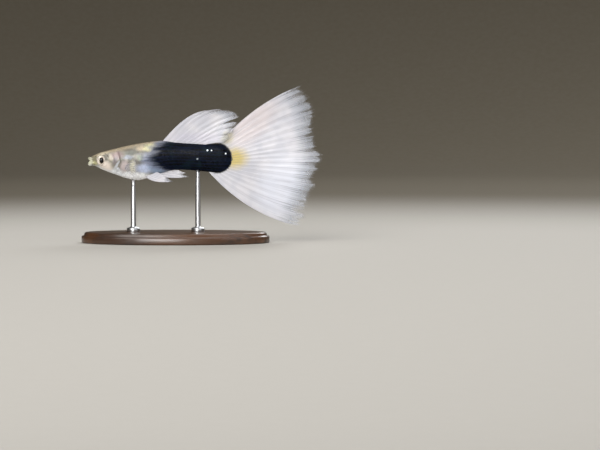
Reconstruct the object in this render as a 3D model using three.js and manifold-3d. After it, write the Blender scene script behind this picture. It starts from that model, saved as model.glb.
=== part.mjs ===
// A fancy guppy, a male with a half-black body and a white delta tail, at life size
// on a plain display stand. Millimetres, +Z up. The fish faces -X, its left flank
// faces -Y, and the origin is the centre of the stand's underside.
import * as THREE from "three";
import { mergeVertices } from "three/addons/utils/BufferGeometryUtils.js";
import Module from "manifold-3d";

const wasm = await Module();
wasm.setup();

// Driving dimensions
const STANDARD_LENGTH = 32; // snout to the end of the tail stem
const GAP = 0.3; // between pieces that touch
const FIN_HALF = 0.25; // half the thickness of a fin's web
const RIB = 0.12; // how far a fin ray stands up on each face
const TIP_HALF = 0.07; // half the thickness at a ray's tip
const AXIS_TO_BASE = 16.4; // from the body's axis down to the top of the base
const BASE_THICKNESS = 2.4;
const BASE_LENGTH = 42;
const BASE_WIDTH = 21;
const BASE_CENTRE = 19.5; // behind the snout
const ROD_RADIUS = 0.6;
const ROD_PLACES = [10.1, 24.5]; // behind the snout
const AXIS_HEIGHT = AXIS_TO_BASE + BASE_THICKNESS;

// Stations of the body in hundredths of the standard length: distance behind the
// snout, height of the back, height of the belly, half width, squareness of the back
const STATIONS = [
  [1.2, 0.3, -3.9, 2.3, 2.3],
  [2.8, 1.5, -4.7, 3.3, 2.4],
  [5.0, 2.7, -5.2, 4.1, 2.5],
  [9.0, 4.2, -7.2, 5.2, 2.7],
  [12.6, 5.2, -8.7, 6.0, 2.7],
  [18.4, 6.8, -10.9, 6.7, 2.5],
  [24.9, 8.4, -13.3, 7.0, 2.3],
  [31.6, 9.8, -14.9, 6.9, 2.1],
  [36.9, 10.8, -15.1, 6.7, 2.0],
  [45.6, 12.0, -12.3, 6.1, 2.0],
  [51.9, 12.5, -10.1, 5.6, 2.0],
  [61.2, 11.3, -8.1, 4.7, 2.0],
  [75.0, 10.4, -8.6, 3.7, 2.0],
  [87.2, 10.4, -9.8, 2.7, 2.0],
  [102.0, 10.9, -10.5, 1.4, 2.0],
];
const WIDEST_SHARE = 0.52; // height of the widest level, from the belly up
const BELLY_SQUARENESS = 2.0;
const RING_POINTS = 32;
const HEAD_STEP = 0.4;
const TRUNK_STEP = 0.85;

// Helpers

function lerp(a, b, t) {
  return a + (b - a) * t;
}

function smoothstep(low, high, x) {
  const t = Math.min(1, Math.max(0, (x - low) / (high - low)));
  return t * t * (3 - 2 * t);
}

function radians(degrees) {
  return (degrees * Math.PI) / 180;
}

// A small repeatable random generator, so that each build is the same
function seeded(seed) {
  let state = seed;
  return () => {
    state = (state * 1664525 + 1013904223) % 4294967296;
    return state / 4294967296;
  };
}

// A smooth curve through rows of numbers, read at x, the rows' first column
function along(rows, x, column) {
  const last = rows.length - 1;
  let i = 0;
  while (i < last - 1 && x > rows[i + 1][0]) i++;
  const slope = (k) => {
    const a = rows[Math.max(0, k - 1)];
    const b = rows[Math.min(last, k + 1)];
    return (b[column] - a[column]) / (b[0] - a[0]);
  };
  const run = rows[i + 1][0] - rows[i][0];
  const t = Math.min(1, Math.max(0, (x - rows[i][0]) / run));
  const start = 2 * t ** 3 - 3 * t ** 2 + 1;
  return (
    start * rows[i][column] +
    (1 - start) * rows[i + 1][column] +
    (t ** 3 - 2 * t ** 2 + t) * run * slope(i) +
    (t ** 3 - t ** 2) * run * slope(i + 1)
  );
}

// The point at t on a cubic curve in the plane, given its ends and end directions
function bend(start, startAngle, end, endAngle, t) {
  const reach = Math.hypot(end[0] - start[0], end[1] - start[1]) / 3;
  const a = [start[0] + reach * Math.cos(startAngle), start[1] + reach * Math.sin(startAngle)];
  const b = [end[0] - reach * Math.cos(endAngle), end[1] - reach * Math.sin(endAngle)];
  const s = 1 - t;
  return [0, 1].map(
    (k) => s ** 3 * start[k] + 3 * s * s * t * a[k] + 3 * s * t * t * b[k] + t ** 3 * end[k],
  );
}

function solidOf(geometry) {
  const bare = geometry.clone();
  bare.deleteAttribute("normal");
  bare.deleteAttribute("uv");
  const merged = mergeVertices(bare, 1e-4);
  return new wasm.Manifold(
    new wasm.Mesh({
      numProp: 3,
      vertProperties: new Float32Array(merged.attributes.position.array),
      triVerts: new Uint32Array(merged.index.array),
    }),
  );
}

// A closed solid from points and triangles, turned to face outwards
function solidFrom(points, triangles) {
  const make = (order) =>
    new wasm.Manifold(
      new wasm.Mesh({
        numProp: 3,
        vertProperties: new Float32Array(points.flat()),
        triVerts: new Uint32Array(order.flat()),
      }),
    );
  const made = make(triangles);
  return made.volume() > 0 ? made : make(triangles.map(([a, b, c]) => [a, c, b]));
}

function largest(solid) {
  return solid.decompose().sort((a, b) => b.volume() - a.volume())[0];
}

function geometryOf(solid) {
  const mesh = largest(solid).getMesh();
  const geometry = new THREE.BufferGeometry();
  geometry.setAttribute("position", new THREE.BufferAttribute(mesh.vertProperties, 3));
  geometry.setIndex(new THREE.BufferAttribute(mesh.triVerts, 1));
  geometry.computeVertexNormals();
  return geometry;
}

// Rings of points joined into one closed solid, with a flat cap on each end
function loft(rings) {
  const count = rings[0].length;
  const points = rings.flat();
  const triangles = [];
  for (let i = 0; i < rings.length - 1; i++) {
    for (let j = 0; j < count; j++) {
      const a = i * count + j;
      const b = i * count + ((j + 1) % count);
      triangles.push([a, b, b + count], [a, b + count, a + count]);
    }
  }
  [0, rings.length - 1].forEach((i) => {
    const ring = rings[i];
    const middle = [0, 1, 2].map((k) => ring.reduce((sum, p) => sum + p[k], 0) / count);
    points.push(middle);
    for (let j = 0; j < count; j++) {
      const a = i * count + j;
      const b = i * count + ((j + 1) % count);
      triangles.push(i === 0 ? [b, a, points.length - 1] : [a, b, points.length - 1]);
    }
  });
  return solidFrom(points, triangles);
}

// A round bar that follows points, with a radius at each
function bar(points, radii, sides) {
  const rings = points.map((p, i) => {
    const before = new THREE.Vector3(...points[Math.max(0, i - 1)]);
    const after = new THREE.Vector3(...points[Math.min(points.length - 1, i + 1)]);
    const way = after.sub(before).normalize();
    const up = new THREE.Vector3(0, 0, 1).addScaledVector(way, -way.z).normalize();
    const side = new THREE.Vector3().crossVectors(way, up);
    return Array.from({ length: sides }, (_, j) => {
      const a = (2 * Math.PI * j) / sides;
      return new THREE.Vector3(...p)
        .addScaledVector(up, radii[i] * Math.cos(a))
        .addScaledVector(side, radii[i] * Math.sin(a))
        .toArray();
    });
  });
  return loft(rings);
}

function ellipsoid(centre, radii, segments) {
  const geometry = new THREE.SphereGeometry(1, segments, Math.round(segments / 2));
  geometry.rotateX(Math.PI / 2);
  geometry.scale(...radii);
  geometry.translate(...centre);
  return solidOf(geometry);
}

// An outline drawn in the side view, given depth across the fish
function sideSlab(shape, depth) {
  const geometry = new THREE.ExtrudeGeometry(shape, {
    depth,
    bevelEnabled: false,
    curveSegments: 24,
  });
  geometry.rotateX(Math.PI / 2);
  geometry.translate(0, depth / 2, 0);
  return solidOf(geometry);
}

// Body: one loft, cut into head, trunk and tail stem

const UNIT = STANDARD_LENGTH / 100;
const BODY_FRONT = STATIONS[0][0] * UNIT;
const BODY_BACK = STATIONS[STATIONS.length - 1][0] * UNIT;
const SLAB_DEPTH = 12;
const OUTSIDE = 5.4; // past the body, above and below

const GILL_Z = -0.9; // where the gill cover reaches furthest back
const GILL_X = 7.4;
const GILL_RISE = 3.3;
const GILL_DROP = 3.2;
const NAPE_X = 5.6;
const THROAT_X = 3.7;
const GILL_FLARE = 0.1; // how far the cover's rear edge stands out
const FLARE_FROM = 4.2;

const STEM_TOP_X = 24.9; // the cut between trunk and stem, at its half height above
const STEM_BOTTOM_X = 20.8; // and below the axis
const STEM_HALF_HEIGHT = 3;
const STEM_RADIUS = 3.26; // of the stem's round end in the side view
const STEM_CENTRE = [STANDARD_LENGTH - STEM_RADIUS, 0.1];
const SHOULDER = { ahead: 1, rise: 0.5 }; // where the body runs free of the round end

function backAt(x) {
  return along(STATIONS, x / UNIT, 1) * UNIT;
}

function bellyAt(x) {
  return along(STATIONS, x / UNIT, 2) * UNIT;
}

function halfWidthAt(x) {
  return along(STATIONS, x / UNIT, 3) * UNIT;
}

// A point on the body at x. Turn 0 is the back, a half the belly, a quarter +Y.
function bodyPoint(x, turn, grow = 0, flare = 0) {
  const top = backAt(x);
  const bottom = bellyAt(x);
  const level = lerp(bottom, top, WIDEST_SHARE);
  const across = Math.sin(2 * Math.PI * turn);
  const up = Math.cos(2 * Math.PI * turn);
  const square = up > 0 ? along(STATIONS, x / UNIT, 4) : BELLY_SQUARENESS;
  const rounded = (value) => Math.sign(value) * Math.abs(value) ** (2 / square);
  const half = halfWidthAt(x) + flare * smoothstep(FLARE_FROM, GILL_X, x) + grow;
  const height = (up > 0 ? top - level : level - bottom) + grow;
  return [x, half * rounded(across), level + height * rounded(up)];
}

function bodyLoft(grow, flare) {
  const places = [];
  for (let x = BODY_FRONT; x < BODY_BACK; x += x < GILL_X ? HEAD_STEP : TRUNK_STEP) {
    places.push(x);
  }
  places.push(BODY_BACK);
  const rings = places.map((x) =>
    Array.from({ length: RING_POINTS }, (_, j) =>
      bodyPoint(x, j / RING_POINTS, grow, flare),
    ),
  );
  return loft(rings);
}

// The gill cover's rear edge: x at a height
function gillEdge(z) {
  const reach = z > GILL_Z ? GILL_RISE : GILL_DROP;
  const end = z > GILL_Z ? NAPE_X : THROAT_X;
  const share = Math.min(1, Math.abs(z - GILL_Z) / reach);
  return end + (GILL_X - end) * Math.sqrt(1 - share * share);
}

function gillLine(shift) {
  const line = [];
  const steps = 20;
  for (let i = 0; i <= steps; i++) {
    const z = GILL_Z + GILL_RISE - (GILL_RISE + GILL_DROP) * (i / steps);
    line.push(new THREE.Vector2(gillEdge(z) + shift, z));
  }
  return line;
}

function headRegion() {
  const line = gillLine(0);
  return sideSlab(
    new THREE.Shape([
      new THREE.Vector2(-OUTSIDE, OUTSIDE),
      new THREE.Vector2(NAPE_X, OUTSIDE),
      ...line,
      new THREE.Vector2(THROAT_X, -OUTSIDE),
      new THREE.Vector2(-OUTSIDE, -OUTSIDE),
    ]),
    SLAB_DEPTH,
  );
}

// The slanting cut between trunk and tail stem, read at a height
function stemCut(z) {
  return lerp(STEM_BOTTOM_X, STEM_TOP_X, (z + STEM_HALF_HEIGHT) / (2 * STEM_HALF_HEIGHT));
}

function trunkRegion() {
  return sideSlab(
    new THREE.Shape([
      new THREE.Vector2(NAPE_X + GAP, OUTSIDE),
      new THREE.Vector2(stemCut(OUTSIDE), OUTSIDE),
      new THREE.Vector2(stemCut(-OUTSIDE), -OUTSIDE),
      new THREE.Vector2(THROAT_X + GAP, -OUTSIDE),
      ...gillLine(GAP).reverse(),
    ]),
    SLAB_DEPTH,
  );
}

// Everything ahead of the stem's round end, for the body or its grown copy
function endRegion(front, grow) {
  const [x, z] = STEM_CENTRE;
  const radius = STEM_RADIUS + grow;
  const shoulder = x - SHOULDER.ahead;
  const shape = new THREE.Shape();
  shape.moveTo(front(OUTSIDE), OUTSIDE);
  shape.lineTo(front(-OUTSIDE), -OUTSIDE);
  shape.lineTo(shoulder, -OUTSIDE);
  shape.lineTo(shoulder, z - radius - SHOULDER.rise);
  shape.lineTo(x, z - radius);
  shape.absarc(x, z, radius, -Math.PI / 2, Math.PI / 2, false);
  shape.lineTo(shoulder, z + radius + SHOULDER.rise);
  shape.lineTo(shoulder, OUTSIDE);
  return sideSlab(shape, SLAB_DEPTH);
}

const trunkLoft = bodyLoft(0, 0);
const headLoft = bodyLoft(0, GILL_FLARE);
const grownBody = bodyLoft(GAP, 0).intersect(endRegion(() => -OUTSIDE, GAP));

// Head: lips, mouth, nostrils and eye sockets

const EYE_CENTRE = [3.06, -0.4];
const EYE_RADIUS = 1.16;
const EYE_DEPTH = 0.66; // half the eyeball's thickness across the fish
const EYE_BULGE = 0.26; // how far it stands out of the head
const EYE_GAP = 0.22;
const NOSTRIL = { x: 1.75, turn: 0.155, radius: 0.2 };
const LIP_REACH = 1.15; // front of the lips to the mouth's corner
const LIP_HALF_WIDTH = 0.98;
const LIP_SWEEP = 84; // degrees of the bend on each side of the snout
const LIP_TAPER = 0.42; // how much thinner a lip is at the mouth's corner
const UPPER_LIP = { front: 0.36, z: 0.0, radius: 0.36, lift: -0.25 };
const LOWER_LIP = { front: 0.48, z: -1.16, radius: 0.5, lift: 0.2 };
const MOUTH = { z: -0.47, height: 0.15, depth: 1.1, halfWidth: 0.85 };

// A lip is a bar bent round the snout, thinner at the corners of the mouth
function lip({ front, z, radius, lift }) {
  const steps = 10;
  const points = [];
  const radii = [];
  for (let i = 0; i <= steps; i++) {
    const side = (2 * i) / steps - 1;
    const angle = side * radians(LIP_SWEEP);
    const back = 1 - Math.cos(angle);
    points.push([front + LIP_REACH * back, LIP_HALF_WIDTH * Math.sin(angle), z + lift * back]);
    radii.push(radius * (1 - LIP_TAPER * side * side));
  }
  return bar(points, radii, 8);
}

function eyeCentre(side) {
  const surface = halfWidthAt(EYE_CENTRE[0]) + EYE_BULGE;
  return [EYE_CENTRE[0], side * (surface - EYE_DEPTH), EYE_CENTRE[1]];
}

function eyeSolid(side, grow) {
  const radius = EYE_RADIUS + grow;
  return ellipsoid(eyeCentre(side), [radius, EYE_DEPTH + grow, radius], 18);
}

function headSolid() {
  let head = headLoft.intersect(headRegion());
  head = head.add(lip(UPPER_LIP)).add(lip(LOWER_LIP));
  const cavity = ellipsoid(
    [BODY_FRONT, 0, MOUTH.z],
    [MOUTH.depth, MOUTH.halfWidth, MOUTH.height],
    14,
  );
  head = head.subtract(cavity);
  for (const side of [-1, 1]) {
    head = head.subtract(eyeSolid(side, EYE_GAP));
    const [x, y, z] = bodyPoint(NOSTRIL.x, NOSTRIL.turn);
    head = head.subtract(
      ellipsoid([x, side * y, z], [NOSTRIL.radius, NOSTRIL.radius, NOSTRIL.radius], 10),
    );
  }
  return head;
}

// Fins: a web with a rib for each ray, both faces split alike

const BRANCH_PLACES = [0.27, 0.73]; // a forked ray's branches, in shares of its cell
const FORK_SPAN = [0.35, 0.55]; // where along its length a ray forks
const EDGE_RIB = 0.7; // height of the rib at a fin's first and last edge, in ribs
const BRANCH_RIB = [0.3, 0.9]; // of a branch, before and after the fork
const STEM_RIB = [1, 0.2]; // and of the ray that forks
const ROOT_SPAN = 0.3; // share of the length over which the root thins to the web
const TIP_FROM = 0.8; // where the tips start to thin
const WEB_VARY = 0.4; // the web's share of the rays' uneven length
const CLEFT = 0.6; // depth of the cleft between two branches, in notches

// A fin of rays. path(u, v) gives a point, u across the rays and v along them.
// across is the direction of its thickness.
function finSolid({ rays, rows, path, across, forked, notch, vary, seed, rootHalf, extra }) {
  const random = seeded(seed);
  const cell = forked
    ? [
        ["web", 0],
        ["branch", BRANCH_PLACES[0]],
        ["stem", 0.5],
        ["branch", BRANCH_PLACES[1]],
      ]
    : [
        ["web", 0],
        ["stem", 0.5],
      ];
  const columns = [];
  for (let ray = 0; ray < rays; ray++) {
    for (const [kind, place] of cell) {
      const edge = ray === 0 && kind === "web";
      columns.push({ kind: edge ? "edge" : kind, u: (ray + place) / rays });
    }
  }
  columns.push({ kind: "edge", u: 1 });

  const lengthOf = ({ kind, u }) => {
    const more = vary * (random() - 0.5) + (extra ? extra(u) : 0);
    if (kind === "edge") return 1;
    if (kind === "web") return 1 - notch + more * WEB_VARY;
    if (kind === "branch") return 1 + more;
    return forked ? 1 - CLEFT * notch + more * WEB_VARY : 1 + more;
  };
  const ribAt = (kind, v) => {
    const fork = smoothstep(...FORK_SPAN, v);
    if (kind === "edge") return EDGE_RIB;
    if (kind === "web") return 0;
    if (kind === "branch") return lerp(...BRANCH_RIB, fork);
    return forked ? lerp(...STEM_RIB, fork) : 1;
  };

  const front = [];
  const behind = [];
  for (const column of columns) {
    const length = lengthOf(column);
    for (let j = 0; j <= rows; j++) {
      const v = j / rows;
      const web = lerp(rootHalf, FIN_HALF, smoothstep(0, ROOT_SPAN, v));
      const full = web + RIB * ribAt(column.kind, v);
      const half = lerp(full, TIP_HALF, smoothstep(TIP_FROM, 1, v));
      const middle = path(column.u, v * length);
      front.push(middle.map((m, k) => m - across[k] * half));
      behind.push(middle.map((m, k) => m + across[k] * half));
    }
  }
  const points = [...front, ...behind];
  const count = rows + 1;
  const other = front.length;
  const triangles = [];
  const wall = (a, b) => triangles.push([a, b, b + other], [a, b + other, a + other]);
  for (let i = 0; i < columns.length - 1; i++) {
    for (let j = 0; j < rows; j++) {
      const a = i * count + j;
      const b = a + count;
      triangles.push([a, b, b + 1], [a, b + 1, a + 1]);
      triangles.push([a + other, b + 1 + other, b + other], [a + other, a + 1 + other, b + 1 + other]);
    }
    wall((i + 1) * count, i * count);
    wall(i * count + rows, (i + 1) * count + rows);
  }
  const lastColumn = (columns.length - 1) * count;
  for (let j = 0; j < rows; j++) {
    wall(j, j + 1);
    wall(lastColumn + j + 1, lastColumn + j);
  }
  return solidFrom(points, triangles);
}

const SIDEWAYS = [0, 1, 0];

// Tail fin: rays fan out of the stem's round end to a bowed rear margin
const TAIL = {
  rays: 18,
  rootCentre: [27.0, 0.1],
  rootReach: [3.9, 2.35],
  rootTurn: [-100, 72],
  tipLow: -15.0,
  tipHigh: 15.8,
  rear: 50.6,
  bow: 4.3,
  flare: [18, 13], // how far the lowest and the top ray start outside the straight line
  droop: [20, 15], // and how far they turn back at the tip
  wave: 0.75, // how far the web sways to each side
  waves: [1.25, 0.3], // and how often, across the rays and along them
  waveGrowth: 1.6,
  tuft: 0.075, // a tuft of long rays at mid-height
  tuftPlace: 0.5,
  tuftWidth: 0.035,
};

function tailPath(u, v) {
  const turn = radians(lerp(...TAIL.rootTurn, u));
  const start = [0, 1].map(
    (k) => TAIL.rootCentre[k] + TAIL.rootReach[k] * (k ? Math.sin(turn) : Math.cos(turn)),
  );
  const z = lerp(TAIL.tipLow, TAIL.tipHigh, u);
  const middle = (TAIL.tipLow + TAIL.tipHigh) / 2;
  const end = [TAIL.rear - TAIL.bow * ((z - middle) / (TAIL.tipHigh - middle)) ** 2, z];
  const straight = Math.atan2(end[1] - start[1], end[0] - start[0]);
  const edge = (2 * u - 1) * Math.abs(2 * u - 1);
  const half = u < 0.5 ? 0 : 1;
  const [x, height] = bend(
    start,
    straight + radians(TAIL.flare[half]) * edge,
    end,
    straight - radians(TAIL.droop[half]) * edge,
    v,
  );
  const phase = TAIL.waves[0] * u + TAIL.waves[1] * v;
  const sway = TAIL.wave * Math.sin(2 * Math.PI * phase) * v ** TAIL.waveGrowth;
  return [x, sway, height];
}

function tailFin() {
  return finSolid({
    rays: TAIL.rays,
    rows: 9,
    path: tailPath,
    across: SIDEWAYS,
    forked: true,
    notch: 0.06,
    vary: 0.05,
    seed: 7,
    rootHalf: 0.42,
    extra: (u) => TAIL.tuft * Math.exp(-(((u - TAIL.tuftPlace) / TAIL.tuftWidth) ** 2)),
  }).subtract(grownBody);
}

// Back fin: rays sweep back from its base and lean to the left, clear of the tail
const DORSAL = {
  rays: 8,
  base: [16.7, 24.1],
  sink: 0.6,
  margin: [
    [0, 27.3, 11.2],
    [0.25, 30.0, 11.5],
    [0.5, 33.4, 10.1],
    [0.68, 32.2, 7.8],
    [0.85, 31.0, 5.8],
    [1, 29.7, 4.15],
  ],
  startAngle: [50, 3],
  endDroop: 20,
  lean: 1.25,
  leanGrowth: 1.4,
};

function dorsalPath(u, v) {
  const x = lerp(...DORSAL.base, u);
  const start = [x, backAt(x) - DORSAL.sink];
  const end = [along(DORSAL.margin, u, 1), along(DORSAL.margin, u, 2)];
  const point = bend(
    start,
    radians(lerp(...DORSAL.startAngle, u)),
    end,
    -radians(DORSAL.endDroop) * Math.sin(Math.PI * u),
    v,
  );
  return [point[0], -DORSAL.lean * v ** DORSAL.leanGrowth, point[1]];
}

function dorsalFin() {
  return finSolid({
    rays: DORSAL.rays,
    rows: 7,
    path: dorsalPath,
    across: SIDEWAYS,
    forked: true,
    notch: 0.1,
    vary: 0.06,
    seed: 11,
    rootHalf: 0.32,
  }).subtract(grownBody);
}

// Pelvic fins: a pair of narrow fins under the belly
const PELVIC = {
  rays: 5,
  base: [12.7, 14.3],
  sink: 0.7,
  apart: 0.92,
  splay: 0.35,
  frontTip: [18.9, -5.15],
  backTip: [17.3, -4.35],
  startAngle: [-40, -12],
  endAngle: [4, 2],
};

function pelvicFin(side) {
  const path = (u, v) => {
    const x = lerp(...PELVIC.base, u);
    const start = [x, bellyAt(x) + PELVIC.sink];
    const end = [0, 1].map((k) => lerp(PELVIC.frontTip[k], PELVIC.backTip[k], u));
    const point = bend(
      start,
      radians(lerp(...PELVIC.startAngle, u)),
      end,
      radians(lerp(...PELVIC.endAngle, u)),
      v,
    );
    return [point[0], side * (PELVIC.apart + PELVIC.splay * v * v), point[1]];
  };
  return finSolid({
    rays: PELVIC.rays,
    rows: 7,
    path,
    across: SIDEWAYS,
    forked: false,
    notch: 0.1,
    vary: 0.08,
    seed: 23,
    rootHalf: 0.27,
  }).subtract(grownBody);
}

// Anal fin, in a male a slim rod-like organ with a forked tip
const ANAL = {
  rays: 3,
  base: [15.0, 17.2],
  sink: 0.8,
  lowTip: [22.3, -4.05],
  highTip: [21.9, -3.2],
  startAngle: [-24, 2],
  endAngle: [3, 0],
};

function analFin() {
  const path = (u, v) => {
    const x = lerp(...ANAL.base, u);
    const start = [x, bellyAt(x) + ANAL.sink];
    const end = [0, 1].map((k) => lerp(ANAL.lowTip[k], ANAL.highTip[k], u));
    const point = bend(
      start,
      radians(lerp(...ANAL.startAngle, u)),
      end,
      radians(lerp(...ANAL.endAngle, u)),
      v,
    );
    return [point[0], 0, point[1]];
  };
  return finSolid({
    rays: ANAL.rays,
    rows: 8,
    path,
    across: SIDEWAYS,
    forked: false,
    notch: 0.14,
    vary: 0.04,
    seed: 31,
    rootHalf: 0.3,
  }).subtract(grownBody);
}

// Pectoral fins: rounded fans behind the gill covers, half folded
const PECTORAL = {
  rays: 7,
  x: 8.3,
  turn: 0.3,
  sink: 0.2,
  length: 4.3,
  spread: [-30, 36],
  rounding: 0.26, // how much shorter the edge rays are
  rootHalfHeight: 0.3,
  out: 0.72,
  down: 0.24,
  cup: 0.4, // how far the fan bends back towards the flank
};

function pectoralFin(side) {
  const [x, y, z] = bodyPoint(PECTORAL.x, PECTORAL.turn);
  const way = new THREE.Vector3(1, side * PECTORAL.out, -PECTORAL.down).normalize();
  const up = new THREE.Vector3(0, 0, 1).addScaledVector(way, -way.z).normalize();
  const face = new THREE.Vector3().crossVectors(way, up);
  const origin = new THREE.Vector3(x, side * (y - PECTORAL.sink), z);
  const path = (u, v) => {
    const angle = radians(lerp(...PECTORAL.spread, u));
    const tall = (u - 0.5) * 2 * PECTORAL.rootHalfHeight;
    const reach = PECTORAL.length * (1 - PECTORAL.rounding * (2 * u - 1) ** 2) * v;
    return origin
      .clone()
      .addScaledVector(up, tall + reach * Math.sin(angle))
      .addScaledVector(way, reach * Math.cos(angle))
      .addScaledVector(face, side * PECTORAL.cup * v * v)
      .toArray();
  };
  return finSolid({
    rays: PECTORAL.rays,
    rows: 6,
    path,
    across: face.toArray(),
    forked: false,
    notch: 0.05,
    vary: 0.03,
    seed: 41,
    rootHalf: 0.3,
  }).subtract(grownBody);
}

// Stand: an oval base and two rods that end at the belly

const BASE_BEVEL = 0.5;
const ROD_SINK = 1.5; // depth of the rod's foot in the base
const COLLAR_RADIUS = 1.5;
const COLLAR_HEIGHT = 0.7;

function cylinder(radius, low, high, x, sides) {
  const geometry = new THREE.CylinderGeometry(radius, radius, high - low, sides);
  geometry.rotateX(Math.PI / 2);
  geometry.translate(x, 0, (low + high) / 2);
  return solidOf(geometry);
}

function baseSolid() {
  const shape = new THREE.Shape();
  shape.absellipse(
    0,
    0,
    BASE_LENGTH / 2 - BASE_BEVEL,
    BASE_WIDTH / 2 - BASE_BEVEL,
    0,
    2 * Math.PI,
    false,
  );
  const geometry = new THREE.ExtrudeGeometry(shape, {
    depth: BASE_THICKNESS - 2 * BASE_BEVEL,
    bevelThickness: BASE_BEVEL,
    bevelSize: BASE_BEVEL,
    bevelSegments: 2,
    curveSegments: 22,
  });
  geometry.translate(0, 0, BASE_BEVEL);
  let base = solidOf(geometry);
  for (const place of ROD_PLACES) {
    base = base.subtract(
      cylinder(
        ROD_RADIUS + GAP,
        BASE_THICKNESS - ROD_SINK - GAP,
        BASE_THICKNESS + 1,
        place - BASE_CENTRE,
        20,
      ),
    );
  }
  return base;
}

function rodSolid(place) {
  const top = -AXIS_TO_BASE;
  return cylinder(ROD_RADIUS, top - ROD_SINK, 0, place, 16)
    .add(cylinder(COLLAR_RADIUS, top + GAP, top + GAP + COLLAR_HEIGHT, place, 20))
    .subtract(grownBody);
}

// The model

const FINISHES = {
  flesh: { color: 0xc9c3b4, roughness: 0.35, metalness: 0.1 },
  black: { color: 0x10141c, roughness: 0.35, metalness: 0.1 },
  fin: { color: 0xeceaf0, roughness: 0.5, metalness: 0 },
  clear_fin: { color: 0xd9d6cc, roughness: 0.45, metalness: 0 },
  eye: { color: 0x1a1712, roughness: 0.1, metalness: 0 },
  wood: { color: 0x2c1d14, roughness: 0.4, metalness: 0 },
  steel: { color: 0xb9babc, roughness: 0.25, metalness: 1 },
};

function mesh(name, solid, finish) {
  const made = new THREE.Mesh(
    geometryOf(solid),
    new THREE.MeshStandardMaterial(FINISHES[finish]),
  );
  made.name = name;
  return made;
}

const fish = new THREE.Group();
fish.position.set(-BASE_CENTRE, 0, AXIS_HEIGHT);
fish.add(
  mesh("head", headSolid(), "flesh"),
  mesh("trunk", trunkLoft.intersect(trunkRegion()), "flesh"),
  mesh("tail_stem", trunkLoft.intersect(endRegion((z) => stemCut(z) + GAP, 0)), "black"),
  mesh("tail_fin", tailFin(), "fin"),
  mesh("dorsal_fin", dorsalFin(), "fin"),
  mesh("anal_fin", analFin(), "fin"),
);
for (const [name, side] of [
  ["left", -1],
  ["right", 1],
]) {
  fish.add(
    mesh(`eye_${name}`, eyeSolid(side, 0), "eye"),
    mesh(`pectoral_fin_${name}`, pectoralFin(side), "clear_fin"),
    mesh(`pelvic_fin_${name}`, pelvicFin(side), "fin"),
  );
}
ROD_PLACES.forEach((place, i) => {
  fish.add(mesh(`stand_rod_${["front", "rear"][i]}`, rodSolid(place), "steel"));
});

const model = new THREE.Group();
model.add(fish, mesh("stand_base", baseSolid(), "wood"));

export default model;
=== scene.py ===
# %% [markdown]
# # A fancy guppy on a display stand
#
# The fish is a grown male with a half-black body and a wide white tail, held level by
# two rods on an oval base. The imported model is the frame: its solids fix every place
# and size, and this script dresses them with skin, scales, fins, eyes and finishes.

# %% Load the frame
import math

import bmesh
import bpy
import numpy as np
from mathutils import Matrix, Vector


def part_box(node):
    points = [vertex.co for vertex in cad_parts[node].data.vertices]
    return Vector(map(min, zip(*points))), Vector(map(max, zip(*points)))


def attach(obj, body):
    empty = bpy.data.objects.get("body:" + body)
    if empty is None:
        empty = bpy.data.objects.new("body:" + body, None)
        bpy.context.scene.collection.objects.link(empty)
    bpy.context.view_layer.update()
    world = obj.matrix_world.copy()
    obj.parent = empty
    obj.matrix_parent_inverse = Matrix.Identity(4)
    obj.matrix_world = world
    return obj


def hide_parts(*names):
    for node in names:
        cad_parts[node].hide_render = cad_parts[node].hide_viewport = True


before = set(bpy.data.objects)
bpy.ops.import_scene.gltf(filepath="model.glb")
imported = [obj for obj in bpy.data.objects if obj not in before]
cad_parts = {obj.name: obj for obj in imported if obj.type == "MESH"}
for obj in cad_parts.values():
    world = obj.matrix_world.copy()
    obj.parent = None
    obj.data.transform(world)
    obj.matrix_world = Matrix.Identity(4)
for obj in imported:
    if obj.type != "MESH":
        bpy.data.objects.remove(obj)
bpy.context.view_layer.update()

# %% [markdown]
# ## Measures
#
# A fish is measured from its snout backwards and from its body's axis up or down, in
# millimetres. Every shape here is worked out in that measure, because the numbers stay
# readable, and one function then carries it into the frame, which is in metres with
# the origin under the middle of the stand.

# %% The fish's measure and the way into the frame
MM = 0.001
STANDARD_LENGTH = 32.0  # snout to the end of the tail stem
UNIT = STANDARD_LENGTH / 100
BASE_CENTRE = 19.5  # behind the snout
AXIS_TO_BASE = 16.4  # from the body's axis down to the top of the base
AXIS_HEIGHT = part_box("stand_base")[1].z / MM + AXIS_TO_BASE


def to_frame(points):
    """Points in the fish's measure, moved into the frame, in metres."""
    return (np.asarray(points, float) + (-BASE_CENTRE, 0, AXIS_HEIGHT)) * MM


def placed(name, data):
    """A new object in the scene that shows some data."""
    thing = bpy.data.objects.new(name, data)
    bpy.context.scene.collection.objects.link(thing)
    return thing


print("the body's axis is", round(AXIS_HEIGHT, 2), "mm above the floor")

# %% [markdown]
# ## Camera
#
# The photograph shows the left flank square on, with the fish left of the middle and
# above it. A long lens keeps the outline true. The distance follows from the size of
# one pixel at the fish, and the camera tips down by as much as puts the fish as high
# in the picture as it is there, so the lens needs no shift.

# %% Make the camera
PICTURE = (600, 450)
PIXEL = 0.22346  # mm at the fish, for one pixel
SNOUT_COLUMN = 88.3
AXIS_ROW = 158.5
TIP_DOWN = math.radians(3.0)

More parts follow.
